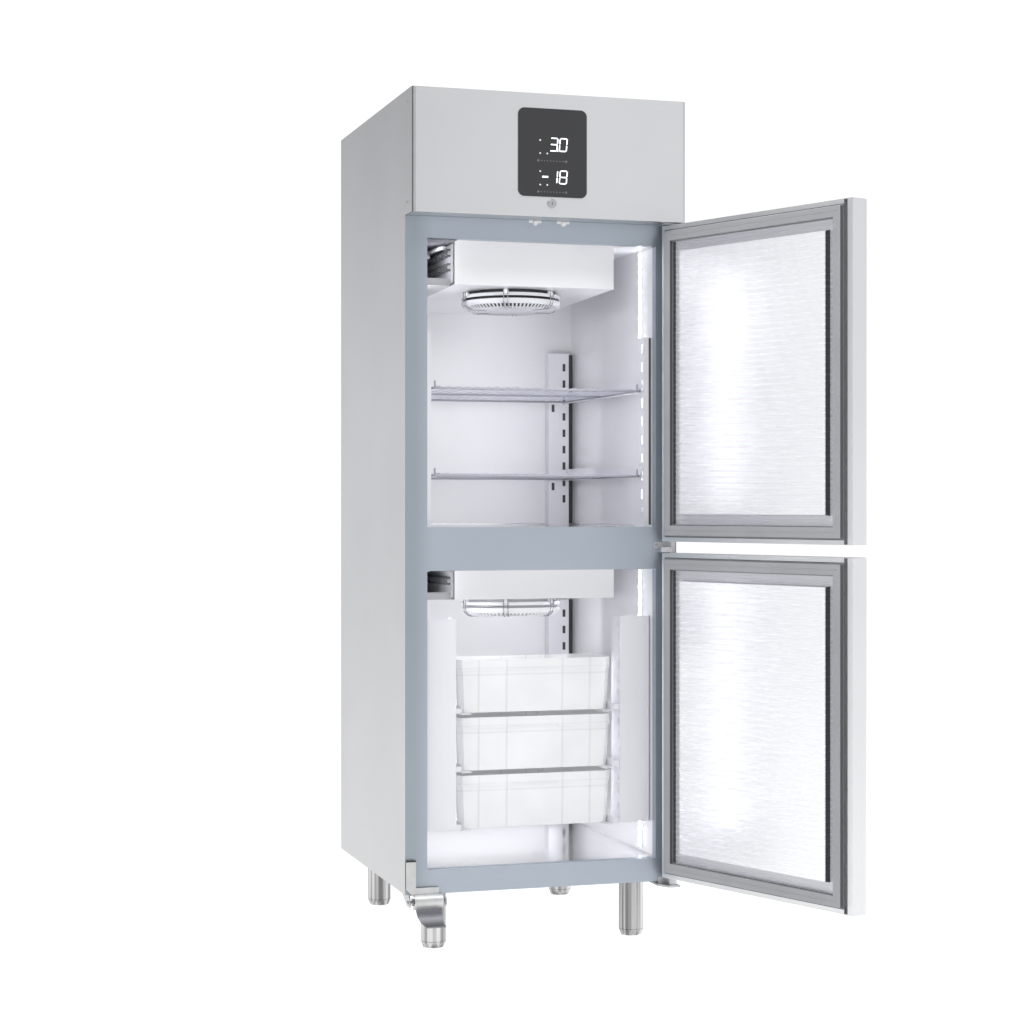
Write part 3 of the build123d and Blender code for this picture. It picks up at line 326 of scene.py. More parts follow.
def add_piece(name, part, body, look, replaces=(), smooth=None):
    """Makes a mesh object of a part given in the cabinet's coordinates, and lets it ride."""
    points, faces = part
    mesh = bpy.data.meshes.new(name)
    mesh.from_pydata((points + ORIGIN).tolist(), [],
                     [face for block in blocks_of(faces) for face in block.tolist()])
    mesh.validate()
    mesh.update()
    piece = bpy.data.objects.new(name, mesh)
    bpy.context.scene.collection.objects.link(piece)
    mesh.materials.append(finish(look))
    if smooth is not None:
        mesh.shade_smooth()
        mesh.set_sharp_from_angle(angle=math.radians(smooth))
    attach(piece, body)
    if replaces:
        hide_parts(*replaces)


# ---------------------------------------------------------------- nodes and shared groups

def new_node(tree, kind, **settings):
    """A shader node of a kind, with its settings."""
    made = tree.nodes.new("ShaderNode" + kind)
    for setting, value in settings.items():
        setattr(made, setting, value)
    return made


def link(tree, source, target):
    """Feeds a socket from another one, or sets it to a constant."""
    if isinstance(source, (int, float, tuple)):
        target.default_value = source
    else:
        tree.links.new(source, target)


def maths(tree, operation, *values):
    """A Math node on sockets or constants, giving its output."""
    made = new_node(tree, "Math", operation=operation)
    for value, socket in zip(values, made.inputs):
        link(tree, value, socket)
    return made.outputs[0]


def ranged(tree, value, start, end, low=0.0, high=1.0):
    """A value that runs from low to high while another runs from start to end."""
    made = new_node(tree, "MapRange")
    for title, source in (("Value", value), ("From Min", start), ("From Max", end),
                          ("To Min", low), ("To Max", high)):
        link(tree, source, made.inputs[title])
    return made.outputs["Result"]


def near(tree, value, level, reach):
    """A mask that is one where a value lies within a reach of a level."""
    away = maths(tree, "ABSOLUTE", maths(tree, "SUBTRACT", value, level))
    return maths(tree, "LESS_THAN", away, reach)


def between(tree, mask, low, high):
    """A value that runs from low to high with a mask centred on one half."""
    return ranged(tree, mask, 0.3, 0.7, low, high)


def tinted(tree, mask, dark, light):
    """A colour that runs from dark to light with a mask centred on one half."""
    ramp = new_node(tree, "ValToRGB")
    for element, place, colour in zip(ramp.color_ramp.elements, (0.3, 0.7), (dark, light)):
        element.position = place
        element.color = (*colour, 1)
    link(tree, mask, ramp.inputs["Fac"])
    return ramp.outputs["Color"]


def steps(tree, value, low, high, stops):
    """A colour that changes in clean steps as a value rises from low to high: (from, colour)."""
    ramp = new_node(tree, "ValToRGB")
    ramp.color_ramp.interpolation = "CONSTANT"
    elements = ramp.color_ramp.elements
    elements.remove(elements[1])
    for k, (start, colour) in enumerate(stops):
        place = (start - low) / (high - low)
        element = elements[0] if k == 0 else elements.new(place)
        element.position = max(place, 0.0)
        element.color = (*colour, 1)
    link(tree, maths(tree, "DIVIDE", maths(tree, "SUBTRACT", value, low), high - low),
         ramp.inputs["Fac"])
    return ramp.outputs["Color"]


def mixed(tree, kind, factor, first, second, blend="MIX"):
    """Two colours or vectors mixed by a factor."""
    made = new_node(tree, "Mix", data_type=kind, blend_type=blend)
    for title, source in (("Factor", factor), ("A", first), ("B", second)):
        link(tree, source, made.inputs[title])
    return made.outputs["Result"]


def times(tree, first, second):
    """Two colours multiplied."""
    return mixed(tree, "RGBA", 1.0, first, second, "MULTIPLY")


def place_along(tree, normal, start):
    """Distance of an Object-coordinate place along a direction, from a start value."""
    dot = new_node(tree, "VectorMath", operation="DOT_PRODUCT")
    link(tree, new_node(tree, "TexCoord").outputs["Object"], dot.inputs[0])
    link(tree, normal, dot.inputs[1])
    return maths(tree, "SUBTRACT", dot.outputs["Value"], start)


def across_of(tree):
    """Distance to the right of the cabinet's middle."""
    return place_along(tree, (1, 0, 0), float(ORIGIN[0]))


def aside_of(tree):
    """Distance to either side of the cabinet's middle."""
    return maths(tree, "ABSOLUTE", across_of(tree))


def height_of(tree):
    """Height above the floor."""
    return place_along(tree, (0, 0, 1), 0.0)


def new_group(name, inputs, outputs):
    """An empty shader group with the named sockets, and its two end nodes."""
    tree = bpy.data.node_groups.new(name, "ShaderNodeTree")
    for title, kind, default in inputs:
        socket = tree.interface.new_socket(title, in_out="INPUT", socket_type="NodeSocket" + kind)
        socket.default_value = default
    for title, kind in outputs:
        tree.interface.new_socket(title, in_out="OUTPUT", socket_type="NodeSocket" + kind)
    return tree, tree.nodes.new("NodeGroupInput"), tree.nodes.new("NodeGroupOutput")


def noise_group(name, scaled_by, detail, roughness, bumped):
    """Noise on Object coordinates, stretched by a vector or scaled by a size, as a mask and, where
    bumped, as a normal too."""
    title, kind, _ = scaled_by
    bump_inputs = [("Depth", "Float", 0.1), ("Height", "Float", 0.0002)]
    tree, inp, out = new_group(name, [scaled_by] + bump_inputs * bumped,
                               [("Mask", "Float")] + [("Normal", "Vector")] * bumped)
    place = new_node(tree, "TexCoord").outputs["Object"]
    noise = new_node(tree, "TexNoise")
    if kind == "Vector":
        stretch = new_node(tree, "VectorMath", operation="MULTIPLY")
        link(tree, place, stretch.inputs[0])
        link(tree, inp.outputs[title], stretch.inputs[1])
        place = stretch.outputs[0]
    link(tree, place, noise.inputs["Vector"])
    link(tree, 1.0 if kind == "Vector" else inp.outputs[title], noise.inputs["Scale"])
    link(tree, detail, noise.inputs["Detail"])
    link(tree, roughness, noise.inputs["Roughness"])
    link(tree, noise.outputs["Fac"], out.inputs["Mask"])
    if bumped:
        bump = new_node(tree, "Bump")
        for source, target in ((noise.outputs["Fac"], "Height"), (inp.outputs["Depth"], "Strength"),
                               (inp.outputs["Height"], "Distance")):
            link(tree, source, bump.inputs[target])
        link(tree, bump.outputs[0], out.inputs["Normal"])
    return tree


def grain_group():
    """Brushing lines: fine noise stretched along the sheet."""
    return noise_group("Brushing", ("Stretch", "Vector", (1, 1, 1)), 3.0, 0.62, True)


def cloud_group():
    """Slow unevenness of a sheet: large soft noise."""
    return noise_group("Unevenness", ("Size", "Float", 3.0), 2.0, 0.5, False)


def speckle_group():
    """Moulded or cast texture: fine even noise."""
    return noise_group("Moulding", ("Size", "Float", 900.0), 2.0, 0.5, True)


def door_level_group():
    """Height of a place above the closed door's face plane, in metres, below zero inside it."""
    tree, _, out = new_group("DoorLevel", [], [("Level", "Float")])
    normal = (-math.sin(OPEN), math.cos(OPEN), 0.0)
    start = float(np.dot(normal, ORIGIN + [*PIN, 0])) - PIN[1]
    link(tree, place_along(tree, normal, start), out.inputs["Level"])
    return tree


def ripple_group():
    """Even shallow ripples up a sheet at a given pitch, as a mask."""
    tree, inp, out = new_group("Ripple", [("Pitch", "Float", RIPPLE_PITCH)], [("Mask", "Float")])
    turns = maths(tree, "DIVIDE", height_of(tree), inp.outputs["Pitch"])
    wave = maths(tree, "SINE", maths(tree, "MULTIPLY", turns, 2 * math.pi))
    link(tree, maths(tree, "MULTIPLY_ADD", wave, 0.5, 0.5), out.inputs["Mask"])
    return tree


GROUP_MAKERS = {"Brushing": grain_group, "Unevenness": cloud_group, "Moulding": speckle_group,
                "DoorLevel": door_level_group, "Ripple": ripple_group}
GROUPS = {}


def use_group(tree, name, **values):
    """The outputs of a shared group, built when it is first used, with its own values."""
    if name not in GROUPS:
        GROUPS[name] = GROUP_MAKERS[name]()
    made = new_node(tree, "Group", node_tree=GROUPS[name])
    for socket, value in values.items():
        link(tree, value, made.inputs[socket])
    return made.outputs


def clouded(tree, colour, size, dark, light=WHITE):
    """A colour that slow unevenness tints between dark and light."""
    mask = use_group(tree, "Unevenness", Size=size)["Mask"]
    return times(tree, colour, tinted(tree, mask, dark, light))


def shade(colour, factor):
    return tuple(min(1.0, c * factor) for c in colour)


# ---------------------------------------------------------------- materials

def blank(name):
    """A new material and its tree."""
    material = bpy.data.materials.new(name)
    material.use_nodes = True
    return material, material.node_tree


def fed(material, base, rough, normal, metal):
    """The material with its shader's four main sockets fed."""
    tree = material.node_tree
    for title, source in (("Base Color", base), ("Roughness", rough), ("Normal", normal),
                          ("Metallic", metal)):
        link(tree, source, tree.nodes["Principled BSDF"].inputs[title])
    return material


def glowing(material, colour, strength):
    """The material with light of its own."""
    tree = material.node_tree
    for title, source in (("Emission Color", (*colour, 1)), ("Emission Strength", strength)):
        link(tree, source, tree.nodes["Principled BSDF"].inputs[title])
    return material


def brushed(name, colour, rough, stretch, metal=1.0, tone=0.05, depth=0.12, height=0.0002, low=1.0):
    """Brushed sheet: tone follows slow unevenness and fine lines, roughness follows the lines. Low
    is the share of its tone that the sheet keeps near the floor, so that it grows darker towards
    the floor."""
    material, tree = blank(name)
    lines = use_group(tree, "Brushing", Stretch=stretch, Depth=depth, Height=height)
    clouds = use_group(tree, "Unevenness", Size=2.5)
    mask = maths(tree, "MULTIPLY_ADD", lines["Mask"], 0.45,
                 maths(tree, "MULTIPLY", clouds["Mask"], 0.55))
    base = tinted(tree, mask, shade(colour, 1 - tone), shade(colour, 1 + tone))
    if low < 1.0:
        base = times(tree, base, ranged(tree, height_of(tree), 0.25, 1.30, low))
    return fed(material, base, between(tree, lines["Mask"], *rough), lines["Normal"], metal)


def moulded(name, colour, rough, size=700.0, tone=0.04, depth=0.1, glow=0.0):
    """Moulded, cast or painted surface: fine texture in tone, roughness and bump."""
    material, tree = blank(name)
    texture = use_group(tree, "Moulding", Size=size, Depth=depth)
    clouds = use_group(tree, "Unevenness", Size=9.0)
    base = tinted(tree, clouds["Mask"], shade(colour, 1 - tone), shade(colour, 1 + tone))
    fed(material, base, between(tree, texture["Mask"], *rough), texture["Normal"], 0.0)
    return glowing(material, colour, glow) if glow else material


def ruled(material, value, low, high, stops):
    """Multiply a finished material's colour by tones that change with a value of its own tree."""
    tree = material.node_tree
    socket = tree.nodes["Principled BSDF"].inputs["Base Color"]
    tones = steps(tree, value, low, high, [(at, (tone,) * 3) for at, tone in stops])
    link(tree, times(tree, socket.links[0].from_socket, tones), socket)
    return material


def fascia_steel(name, colour):
    """Brushed fascia sheet with a painted shade line at the fold near its left edge and a painted
    shade strip along its right edge.
    """
    material = brushed(name, colour, (0.30, 0.42), ACROSS)
    # Painted shade: the 0.30 step is the shade line at the left fold, the 0.75 step the shade strip
    # at the right edge.
    return ruled(material, across_of(material.node_tree), -0.36, 0.36,
                 ((-0.36, 1.0), (-0.3495, 0.30), (-0.3462, 1.0), (0.3478, 0.75)))


def crate_plastic(name, colour):
    """White crate plastic with a faint painted glow, and the faint painted shadow lines of its
    ribs, shoulder and grip.
    """
    # The glow is painted light that lifts the shaded gaps between the crates.
    material = moulded(name, colour, (0.34, 0.46), size=1500, glow=0.08)
    tree = material.node_tree
    # Painted shadow lines: the ribs across, then the shoulder and the grip by height.
    ruled(material, aside_of(tree), 0.0, 0.2,
          ((0.0, 1.0), (0.0700, 0.90), (0.0750, 1.0), (0.1420, 0.90), (0.1470, 1.0)))
    rise = maths(tree, "SUBTRACT", height_of(tree), CRATE_FLOOR)
    return ruled(material, maths(tree, "MODULO", rise, CRATE_PITCH), 0.0, CRATE_PITCH,
                 ((0.0, 1.0), (0.0915, 0.92), (0.0960, 1.0), (0.1090, 0.94), (0.1125, 1.0)))


def by_level(tree, wall, low, stops):
    """Colours by the door's level, and a painted tone for the walls that face up or down, standing
    in for the light that falls on them.
    """
    level = use_group(tree, "DoorLevel")["Level"]
    split = new_node(tree, "SeparateXYZ")
    link(tree, new_node(tree, "NewGeometry").outputs["Normal"], split.inputs[0])
    # Painted light by facing: walls that face up or down take the wall tone instead of the steps.
    flat = maths(tree, "GREATER_THAN", maths(tree, "ABSOLUTE", split.outputs["Z"]), 0.25)
    return mixed(tree, "RGBA", flat, steps(tree, level, low, 0.0, stops), (*wall, 1)), level


def door_panel(name, colour, side_wall_shade, channel):
    """Pressed inner door panel: a bright rippled plateau, with painted shade that makes its side
    walls dark, the channel round it grey and the walls that face up or down a darker grey, told
    apart by their level."""
    material, tree = blank(name)
    # Painted shade: the channel's grey, the dark of the side walls, and the darker grey of the
    # walls that face up or down.
    tones, level = by_level(tree, shade(channel, 0.75), CHANNEL_LEVEL,
                            ((CHANNEL_LEVEL, channel), (SHADED_WALL_LEVEL, side_wall_shade), (PLATEAU_LEVEL, colour)))
    base = clouded(tree, tones, 2.0, (0.95, 0.95, 0.955))
    ripple = use_group(tree, "Ripple", Pitch=RIPPLE_PITCH)["Mask"]
    raised = maths(tree, "GREATER_THAN", level, PLATEAU_LEVEL)
    lines = use_group(tree, "Brushing", Stretch=UPRIGHT, Depth=0.004)
    return fed(material, base, maths(tree, "MULTIPLY_ADD", ripple, 0.06, 0.235), lines["Normal"],
               maths(tree, "MULTIPLY_ADD", raised, 0.15, 0.25))


def seal_rubber(name, face, wall):
    """Soft seal: a pale grey front face, and painted shade that darkens its folded walls, told
    apart by their level.
    """
    material, tree = blank(name)
    # Painted shade: dark on the folded walls and a little lighter at the foot. Walls that face up
    # or down keep a tone near the face's.
    tones, _ = by_level(tree, shade(face, 0.85), SEAL_FOOT,
                        ((SEAL_FOOT, shade(wall, 1.5)), (SEAL_WALL, wall), (SEAL_FACE, face)))
    texture = use_group(tree, "Moulding", Size=900.0, Depth=0.12)
    return fed(material, clouded(tree, tones, 7.0, (0.9, 0.9, 0.9)),
               between(tree, texture["Mask"], 0.48, 0.62), texture["Normal"], 0.0)


def face_steel(name, colour):
    """Face frame: its uprights brushed lengthwise, and made a little darker than its cross members
    by painted shade.
    """
    material, tree = blank(name)
    upright = maths(tree, "MULTIPLY_ADD", aside_of(tree), 22.0, -6.15)
    upright = maths(tree, "MINIMUM", maths(tree, "MAXIMUM", upright, 0.0), 1.0)
    flat, tall = (use_group(tree, "Brushing", Stretch=stretch, Depth=0.12)
                  for stretch in (ACROSS, UPRIGHT))
    # Painted shade: the uprights take the darker tone.
    tones = tinted(tree, maths(tree, "MULTIPLY_ADD", upright, -0.4, 0.7), shade(colour, 0.94),
                   shade(colour, 1.18))
    return fed(material, clouded(tree, tones, 2.5, (0.95, 0.95, 0.95)),
               between(tree, flat["Mask"], 0.36, 0.46),
               mixed(tree, "VECTOR", upright, flat["Normal"], tall["Normal"]), 0.85)


def light_cover(name, colour, cover, lamp):
    """Light bar: a pale glowing cover with a brighter spot over each lamp, by height."""
    material, tree = blank(name)
    turns = maths(tree, "FRACT", maths(tree, "DIVIDE", height_of(tree), LIGHT_PITCH))
    spot = near(tree, turns, 0.5, 0.22)
    crown = maths(tree, "LESS_THAN", aside_of(tree), LIGHT_CROWN)
    texture = use_group(tree, "Moulding", Size=400.0, Depth=0.1)
    fed(material, tinted(tree, texture["Mask"], shade(colour, 0.97), colour),
        between(tree, texture["Mask"], 0.35, 0.5), texture["Normal"], 0.0)
    glow = maths(tree, "MULTIPLY_ADD", spot, lamp - cover, cover)
    return glowing(material, colour, maths(tree, "MULTIPLY", glow, crown))


def liner_steel(name, colour, wing_shade=None):
    """Liner sheet: softly brushed walls, and floors worn smooth enough to mirror the back. Wing
    shade is the painted shade on a housing's tray beside the coil's open end, to the left of the
    housing's side."""
    material, tree = blank(name)
    lines = use_group(tree, "Brushing", Stretch=UPRIGHT, Depth=0.015)
    clouds = use_group(tree, "Unevenness", Size=2.5)
    height = height_of(tree)
    floor = maths(tree, "ADD", *(near(tree, height, level, 0.004) for level in FLOORS))
    base = tinted(tree, clouds["Mask"], shade(colour, 0.97), shade(colour, 1.02))
    if wing_shade:
        # Painted shade on the tray left of the housing's side.
        tones = steps(tree, across_of(tree), -0.3, 0.3, ((-0.3, wing_shade), (WING_EDGE, WHITE)))
        base = times(tree, base, tones)
    rough = maths(tree, "MULTIPLY_ADD", floor, -0.16, between(tree, lines["Mask"], 0.28, 0.30))
    return fed(material, base, rough, lines["Normal"], maths(tree, "MULTIPLY_ADD", floor, 0.5, 0.3))


def stepped_sheet(name, value_of, low, high, stops, stretch, depth, size, dark, rough, metal):
    """Brushed sheet whose colour changes in steps with a value of its tree."""
    material, tree = blank(name)
    lines = use_group(tree, "Brushing", Stretch=stretch, Depth=depth)
    base = clouded(tree, steps(tree, value_of(tree), low, high, stops), size, (dark,) * 3)
    return fed(material, base, between(tree, lines["Mask"], *rough), lines["Normal"], metal)


def door_skin(name, colour, lip_highlight):
    """Outer door sheet: brushed, with a painted highlight on the turned edge beside the finger
    groove.
    """
    # The brighter tone from LIP_LEVEL up is a painted highlight.
    return stepped_sheet(name, lambda tree: use_group(tree, "DoorLevel")["Level"], SKIN_LEVEL, 0.01,
                         ((SKIN_LEVEL, colour), (LIP_LEVEL, lip_highlight)), UPRIGHT, 0.10, 2.5, 0.95,
                         (0.30, 0.40), 0.9)


def pedal_steel(name, colour, tread):
    """Pedal: pale sheet above, and a darker tread below, by height."""
    return stepped_sheet(name, height_of, 0.0, 0.3, ((0.0, tread), (0.1125, colour)), ACROSS, 0.12,
                         30.0, 0.85, (0.34, 0.5), 0.7)


def drawn_tube(name, dark, light, lines):
    """Bright drawn tube: die lines along z give streaks of uneven roughness and bump, and strong
    streaks of tone that are partly die lines and partly painted reflection.
    """
    material, tree = blank(name)
    broad = use_group(tree, "Brushing", Stretch=(lines, lines, 0.5), Depth=0.06, Height=0.0006)
    fine = use_group(tree, "Brushing", Stretch=UPRIGHT, Depth=0.05)
    # The strong tone streaks are partly painted reflection.
    strong = maths(tree, "MULTIPLY_ADD", broad["Mask"], 2.4, -0.7)
    return fed(material, tinted(tree, strong, dark, light), between(tree, fine["Mask"], 0.2, 0.3),
               broad["Normal"], 1.0)


def look_table():
    """Each look by name: its maker, the values after its name, and options."""
    c = colours()
    return {
        "panel_steel": (brushed, c.panel, (0.30, 0.42), ACROSS, {"low": 0.84}),
        "fascia_steel": (fascia_steel, c.panel),
        "screw_steel": (brushed, shade(c.panel, 0.62), (0.6, 0.7), UPRIGHT, {"metal": 0.4}),
        "frame_steel": (face_steel, c.face),
        "liner_steel": (liner_steel, c.liner),
        # Housing: the liner's steel with painted shade on its tray beside the coil.
        "housing_steel": (liner_steel, c.liner, (0.50, 0.50, 0.51)),
        # Door skins: the sheet, then the painted highlight beside the finger groove.
        "door_skin": (door_skin, (0.76, 0.765, 0.775), (0.88, 0.88, 0.88)),
        # Door panels: the plateau's colour, then the painted shade of the side walls and of the
        # channel.
        "door_panel": (door_panel, c.door, (0.075, 0.08, 0.085), (0.70, 0.70, 0.74)),
        "pedal_steel": (pedal_steel, (0.64, 0.64, 0.64), (0.25, 0.25, 0.275)),
        "lock_steel": (brushed, (0.42, 0.42, 0.43), (0.2, 0.3), UPRIGHT, {"tone": 0.1}),
        "bare_steel": (brushed, (0.55, 0.555, 0.575), (0.32, 0.45), UPRIGHT),
        "pale_steel": (brushed, (0.80, 0.80, 0.84), (0.32, 0.45), UPRIGHT, {"metal": 0.25}),
        "drawn_tube": (drawn_tube, (0.20, 0.20, 0.20), (0.68, 0.68, 0.68), 52.0),
        "grid_wire": (brushed, (0.66, 0.665, 0.77), (0.3, 0.45), DEPTHWAYS, {"metal": 0.3}),
        "grid_rim": (brushed, (0.40, 0.405, 0.45), (0.3, 0.45), ACROSS, {"metal": 0.7}),
        "coil_plate": (brushed, (0.50, 0.505, 0.53), (0.45, 0.6), (40.0, 40.0, 40.0),
                       {"metal": 0.2, "tone": 0.15}),
        "coil_pipe": (brushed, (0.24, 0.245, 0.26), (0.3, 0.45), (60.0, 60.0, 60.0), {"tone": 0.2}),
        "coil_aluminium": (brushed, (0.42, 0.43, 0.44), (0.38, 0.52), (600.0, 2.0, 2.0),
                           {"tone": 0.30, "depth": 0.6, "height": 0.001}),
        "copper": (brushed, (0.62, 0.27, 0.15), (0.22, 0.40), (40.0, 40.0, 40.0), {"tone": 0.14}),
        "light_cover": (light_cover, (0.96, 0.97, 1.0), 1.6, 9.0),
        # Seal: the face's grey, then the painted shade of its folded walls.
        "seal_rubber": (seal_rubber, c.seal, (0.12, 0.122, 0.13)),
        "crate_plastic": (crate_plastic, shade(c.crate, 0.99)),
        "white_plastic": (moulded, c.crate, (0.34, 0.46), 1500.0),
        "grey_plastic": (moulded, (0.62, 0.63, 0.65), (0.42, 0.55), 1100.0),
        "dark_plastic": (moulded, (0.055, 0.056, 0.060), (0.45, 0.6), 900.0),
        # Dark plastic of the sheet that paints shade under the ceilings.
        "duct_plastic": (moulded, (0.20, 0.20, 0.225), (0.5, 0.65)),
        # Lower guard and the knobs: the guard plastic made paler, with a faint glow, as painted
        # light.
        "pale_guard": (moulded, (0.82, 0.83, 0.85), (0.42, 0.55), 1100.0, {"glow": 0.12}),
        # Lower fan's throat: grey where the upper one is black, as painted light.
        "pale_throat": (moulded, (0.62, 0.62, 0.66), (0.5, 0.65)),
        "display_plate": (moulded, c.plate, (0.30, 0.42), 2400.0, {"depth": 0.03}),
        "lit_segments": (moulded, c.lit, (0.3, 0.4), 800.0, {"glow": 1.0}),
        # Printed marks with a faint painted glow.
        "printed_marks": (moulded, (0.62, 0.64, 0.68), (0.4, 0.5), 800.0, {"glow": 0.3}),
        "faint_key_print": (moulded, (0.12, 0.12, 0.125), (0.4, 0.5), 800.0),
        "nylon": (moulded, (0.78, 0.78, 0.74), (0.42, 0.55), 900.0),
        "rigid_foam": (moulded, (0.75, 0.66, 0.42), (0.85, 0.95), 220.0, {"depth": 0.5}),
        "black_paint": (moulded, (0.020, 0.020, 0.023), (0.32, 0.5), 500.0, {"depth": 0.2}),
        "pale_floor": (moulded, FLOOR_COLOUR, (0.7, 0.85), 30.0,
                       {"tone": 0.004, "depth": 0.02, "glow": FLOOR_GLOW}),
    }


LOOKS = {}


def finish(look):
    """The material of a look, made once and named after it."""
    if look not in LOOKS:
        maker, *values = look_table()[look]
        options = values.pop() if isinstance(values[-1], dict) else {}
        LOOKS[look] = maker(look.replace("_", " ").capitalize(), *values, **options)
    return LOOKS[look]


# ---------------------------------------------------------------- operators

# The CAD nodes of each look; a star stands for upper and lower.
CAD_LOOKS = {
    "panel_steel": "side_panel_left side_panel_right rear_panel base_panel",
    "fascia_steel": "fascia",
    "screw_steel": "screws",
    "frame_steel": "front_frame",
    "liner_steel": "*_liner",
    "housing_steel": "*_evaporator_housing",
    "door_skin": "*_door_skin",
    "door_panel": "*_door_liner",
    "pale_steel": "*_rack_posts lower_spacer_panels shelf_runners crate_runners",
    "bare_steel": "technical_deck hinge_brackets condenser_fan_frame pedal_bracket electric_box",
    "pedal_steel": "pedal_lever",
    "drawn_tube": "foot_sleeves foot_front_left foot_front_right foot_rear_left foot_rear_right",
    "grid_wire": "wire_shelf_*",
    "lock_steel": "lock_cylinder",
    "rigid_foam": "cabinet_insulation *_door_core",
    "seal_rubber": "*_door_gasket",
    "display_plate": "display_panel",
    "crate_plastic": "crate_top crate_middle crate_bottom",
    "white_plastic": "switch_bodies switch_plunger_left switch_plunger_right",
    "nylon": "*_door_bushes",
    "grey_plastic": "*_fan_guard",
    "light_cover": "led_strips",
    "coil_aluminium": "condenser_coil *_evaporator_coil",
    "copper": "refrigerant_pipes",
    "black_paint": "compressors",
    "dark_plastic": "*_fan_rotor condenser_fan_rotor evaporator_fan_motors",
}


class FRIDGE_OT_finishes(bpy.types.Operator):
    """Give every CAD node its procedural finish"""
    bl_idname = "fridge.finishes"
    bl_label = "Finishes of the CAD nodes"

    def execute(self, context):
        names = {word.replace("*", half): look for look, words in CAD_LOOKS.items()
                 for word in words.split() for half in DOORS}
        left = sorted(set(NODES) ^ set(names))
        if left:
            raise RuntimeError(f"no finish or no node for {left}")
        for name, look in names.items():
            mesh = NODES[name].data
            mesh.materials.clear()
            mesh.materials.append(finish(look))
        return {"FINISHED"}


SEGMENTS = {"0": "abcdef", "1": "bc", "3": "abcdg", "8": "abcdefg"}


def segment_bars(height, width, lean):
    """The seven bars of a digit as hexagons: each runs between two of the six corner points of a
    box of the digit's height and 0.58 of its width, with pointed ends, then leans with height."""
    w, h, t = height * 0.58, height, width / 2
    tl, tr, ml, mr, bl, br = (np.array(p, float) for p in (
        (0, h), (w, h), (0, h / 2), (w, h / 2), (0, 0), (w, 0)))
    bars = {}
    for name, p, q in zip("abcdefg", (tl, tr, mr, bl, ml, tl, ml), (tr, mr, br, br, bl, ml, mr)):
        along = (q - p) / np.linalg.norm(q - p)
        side = np.array([-along[1], along[0]]) * t
        tip = along * t * 0.35
        inner = tip + along * t
        hexagon = np.array([p + tip, p + inner + side, q - inner + side, q - tip,
                            q - inner - side, p + inner - side])
        hexagon[:, 0] += hexagon[:, 1] * lean
        area = np.cross(hexagon, np.roll(hexagon, -1, 0)).sum()
        bars[name] = hexagon if area > 0 else hexagon[::-1]
    return bars


def disc(x, z, radius, sides=12):
    """A disc's outline about x, z."""
    a = np.linspace(0, 2 * math.pi, sides, endpoint=False)
    return np.stack([x + radius * np.cos(a), z + radius * np.sin(a)], -1)


class FRIDGE_OT_display(bpy.types.Operator):
    """Lit digits, marks and key rows on the control plate"""
    bl_idname = "fridge.display"
    bl_label = "Display digits and keys"

    def execute(self, context):
        proud = ORIGIN[1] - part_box("display_panel")[0].y + 0.00005
        s = sizes()
        bars = segment_bars(s.digit_height, s.segment_width, 0.09)
        lit = [bars[name] + [x, z] for sign, x, z in DIGITS for name in SEGMENTS[sign]]
        lit += [disc(*DOT, s.segment_width * 0.62), np.array(MINUS)]
        keys = [disc(x, z, 0.0032 if k % (KEYS - 1) == 0 else 0.0018, 8)
                for z in KEY_ROWS for k, x in enumerate(np.linspace(*KEY_ENDS, KEYS))]
        for name, outlines, depth, look, slot in (
                ("lit_digits", lit, 0.0008, "lit_segments", "white_plastic"),
                ("display_marks", [disc(x, z, 0.0021) for x, z in MARKS], 0.0006, "printed_marks",
                 "white_plastic"),
                ("key_rows", keys, 0.0006, "faint_key_print", "dark_plastic")):
            parts = [shifted(plate(outline, depth), 0, -proud, 0) for outline in outlines]
            add_piece(name, joined(parts), "cabinet", look)
        return {"FINISHED"}


def tray_place(ceiling):
    """Matrix of a fan guard's local frame: its centre on the tray's underside, square to it."""
    fall = TRAY_FALL * (FAN_Y - TRAY_FRONT) / TRAY_RUN
    turn = Matrix.Rotation(-math.atan2(TRAY_FALL, TRAY_RUN), 4, "X")
    return Matrix.Translation((FAN_X, FAN_Y, ceiling - TRAY_DROP - fall)) @ turn


def rounded_strip(r0, r1, z0, z1, round_by):
    """The outline of a strip between two radii and two heights, with rounded corners."""
    outline = []
    for k, (r, z) in enumerate(((r1 - round_by, z1 - round_by), (r0 + round_by, z1 - round_by),
                                (r0 + round_by, z0 + round_by), (r1 - round_by, z0 + round_by))):
        a = np.linspace(0, math.pi / 2, 4) + k * math.pi / 2
        outline.append(np.stack([r + round_by * np.cos(a), z + round_by * np.sin(a)], -1))
    return np.vstack(outline)


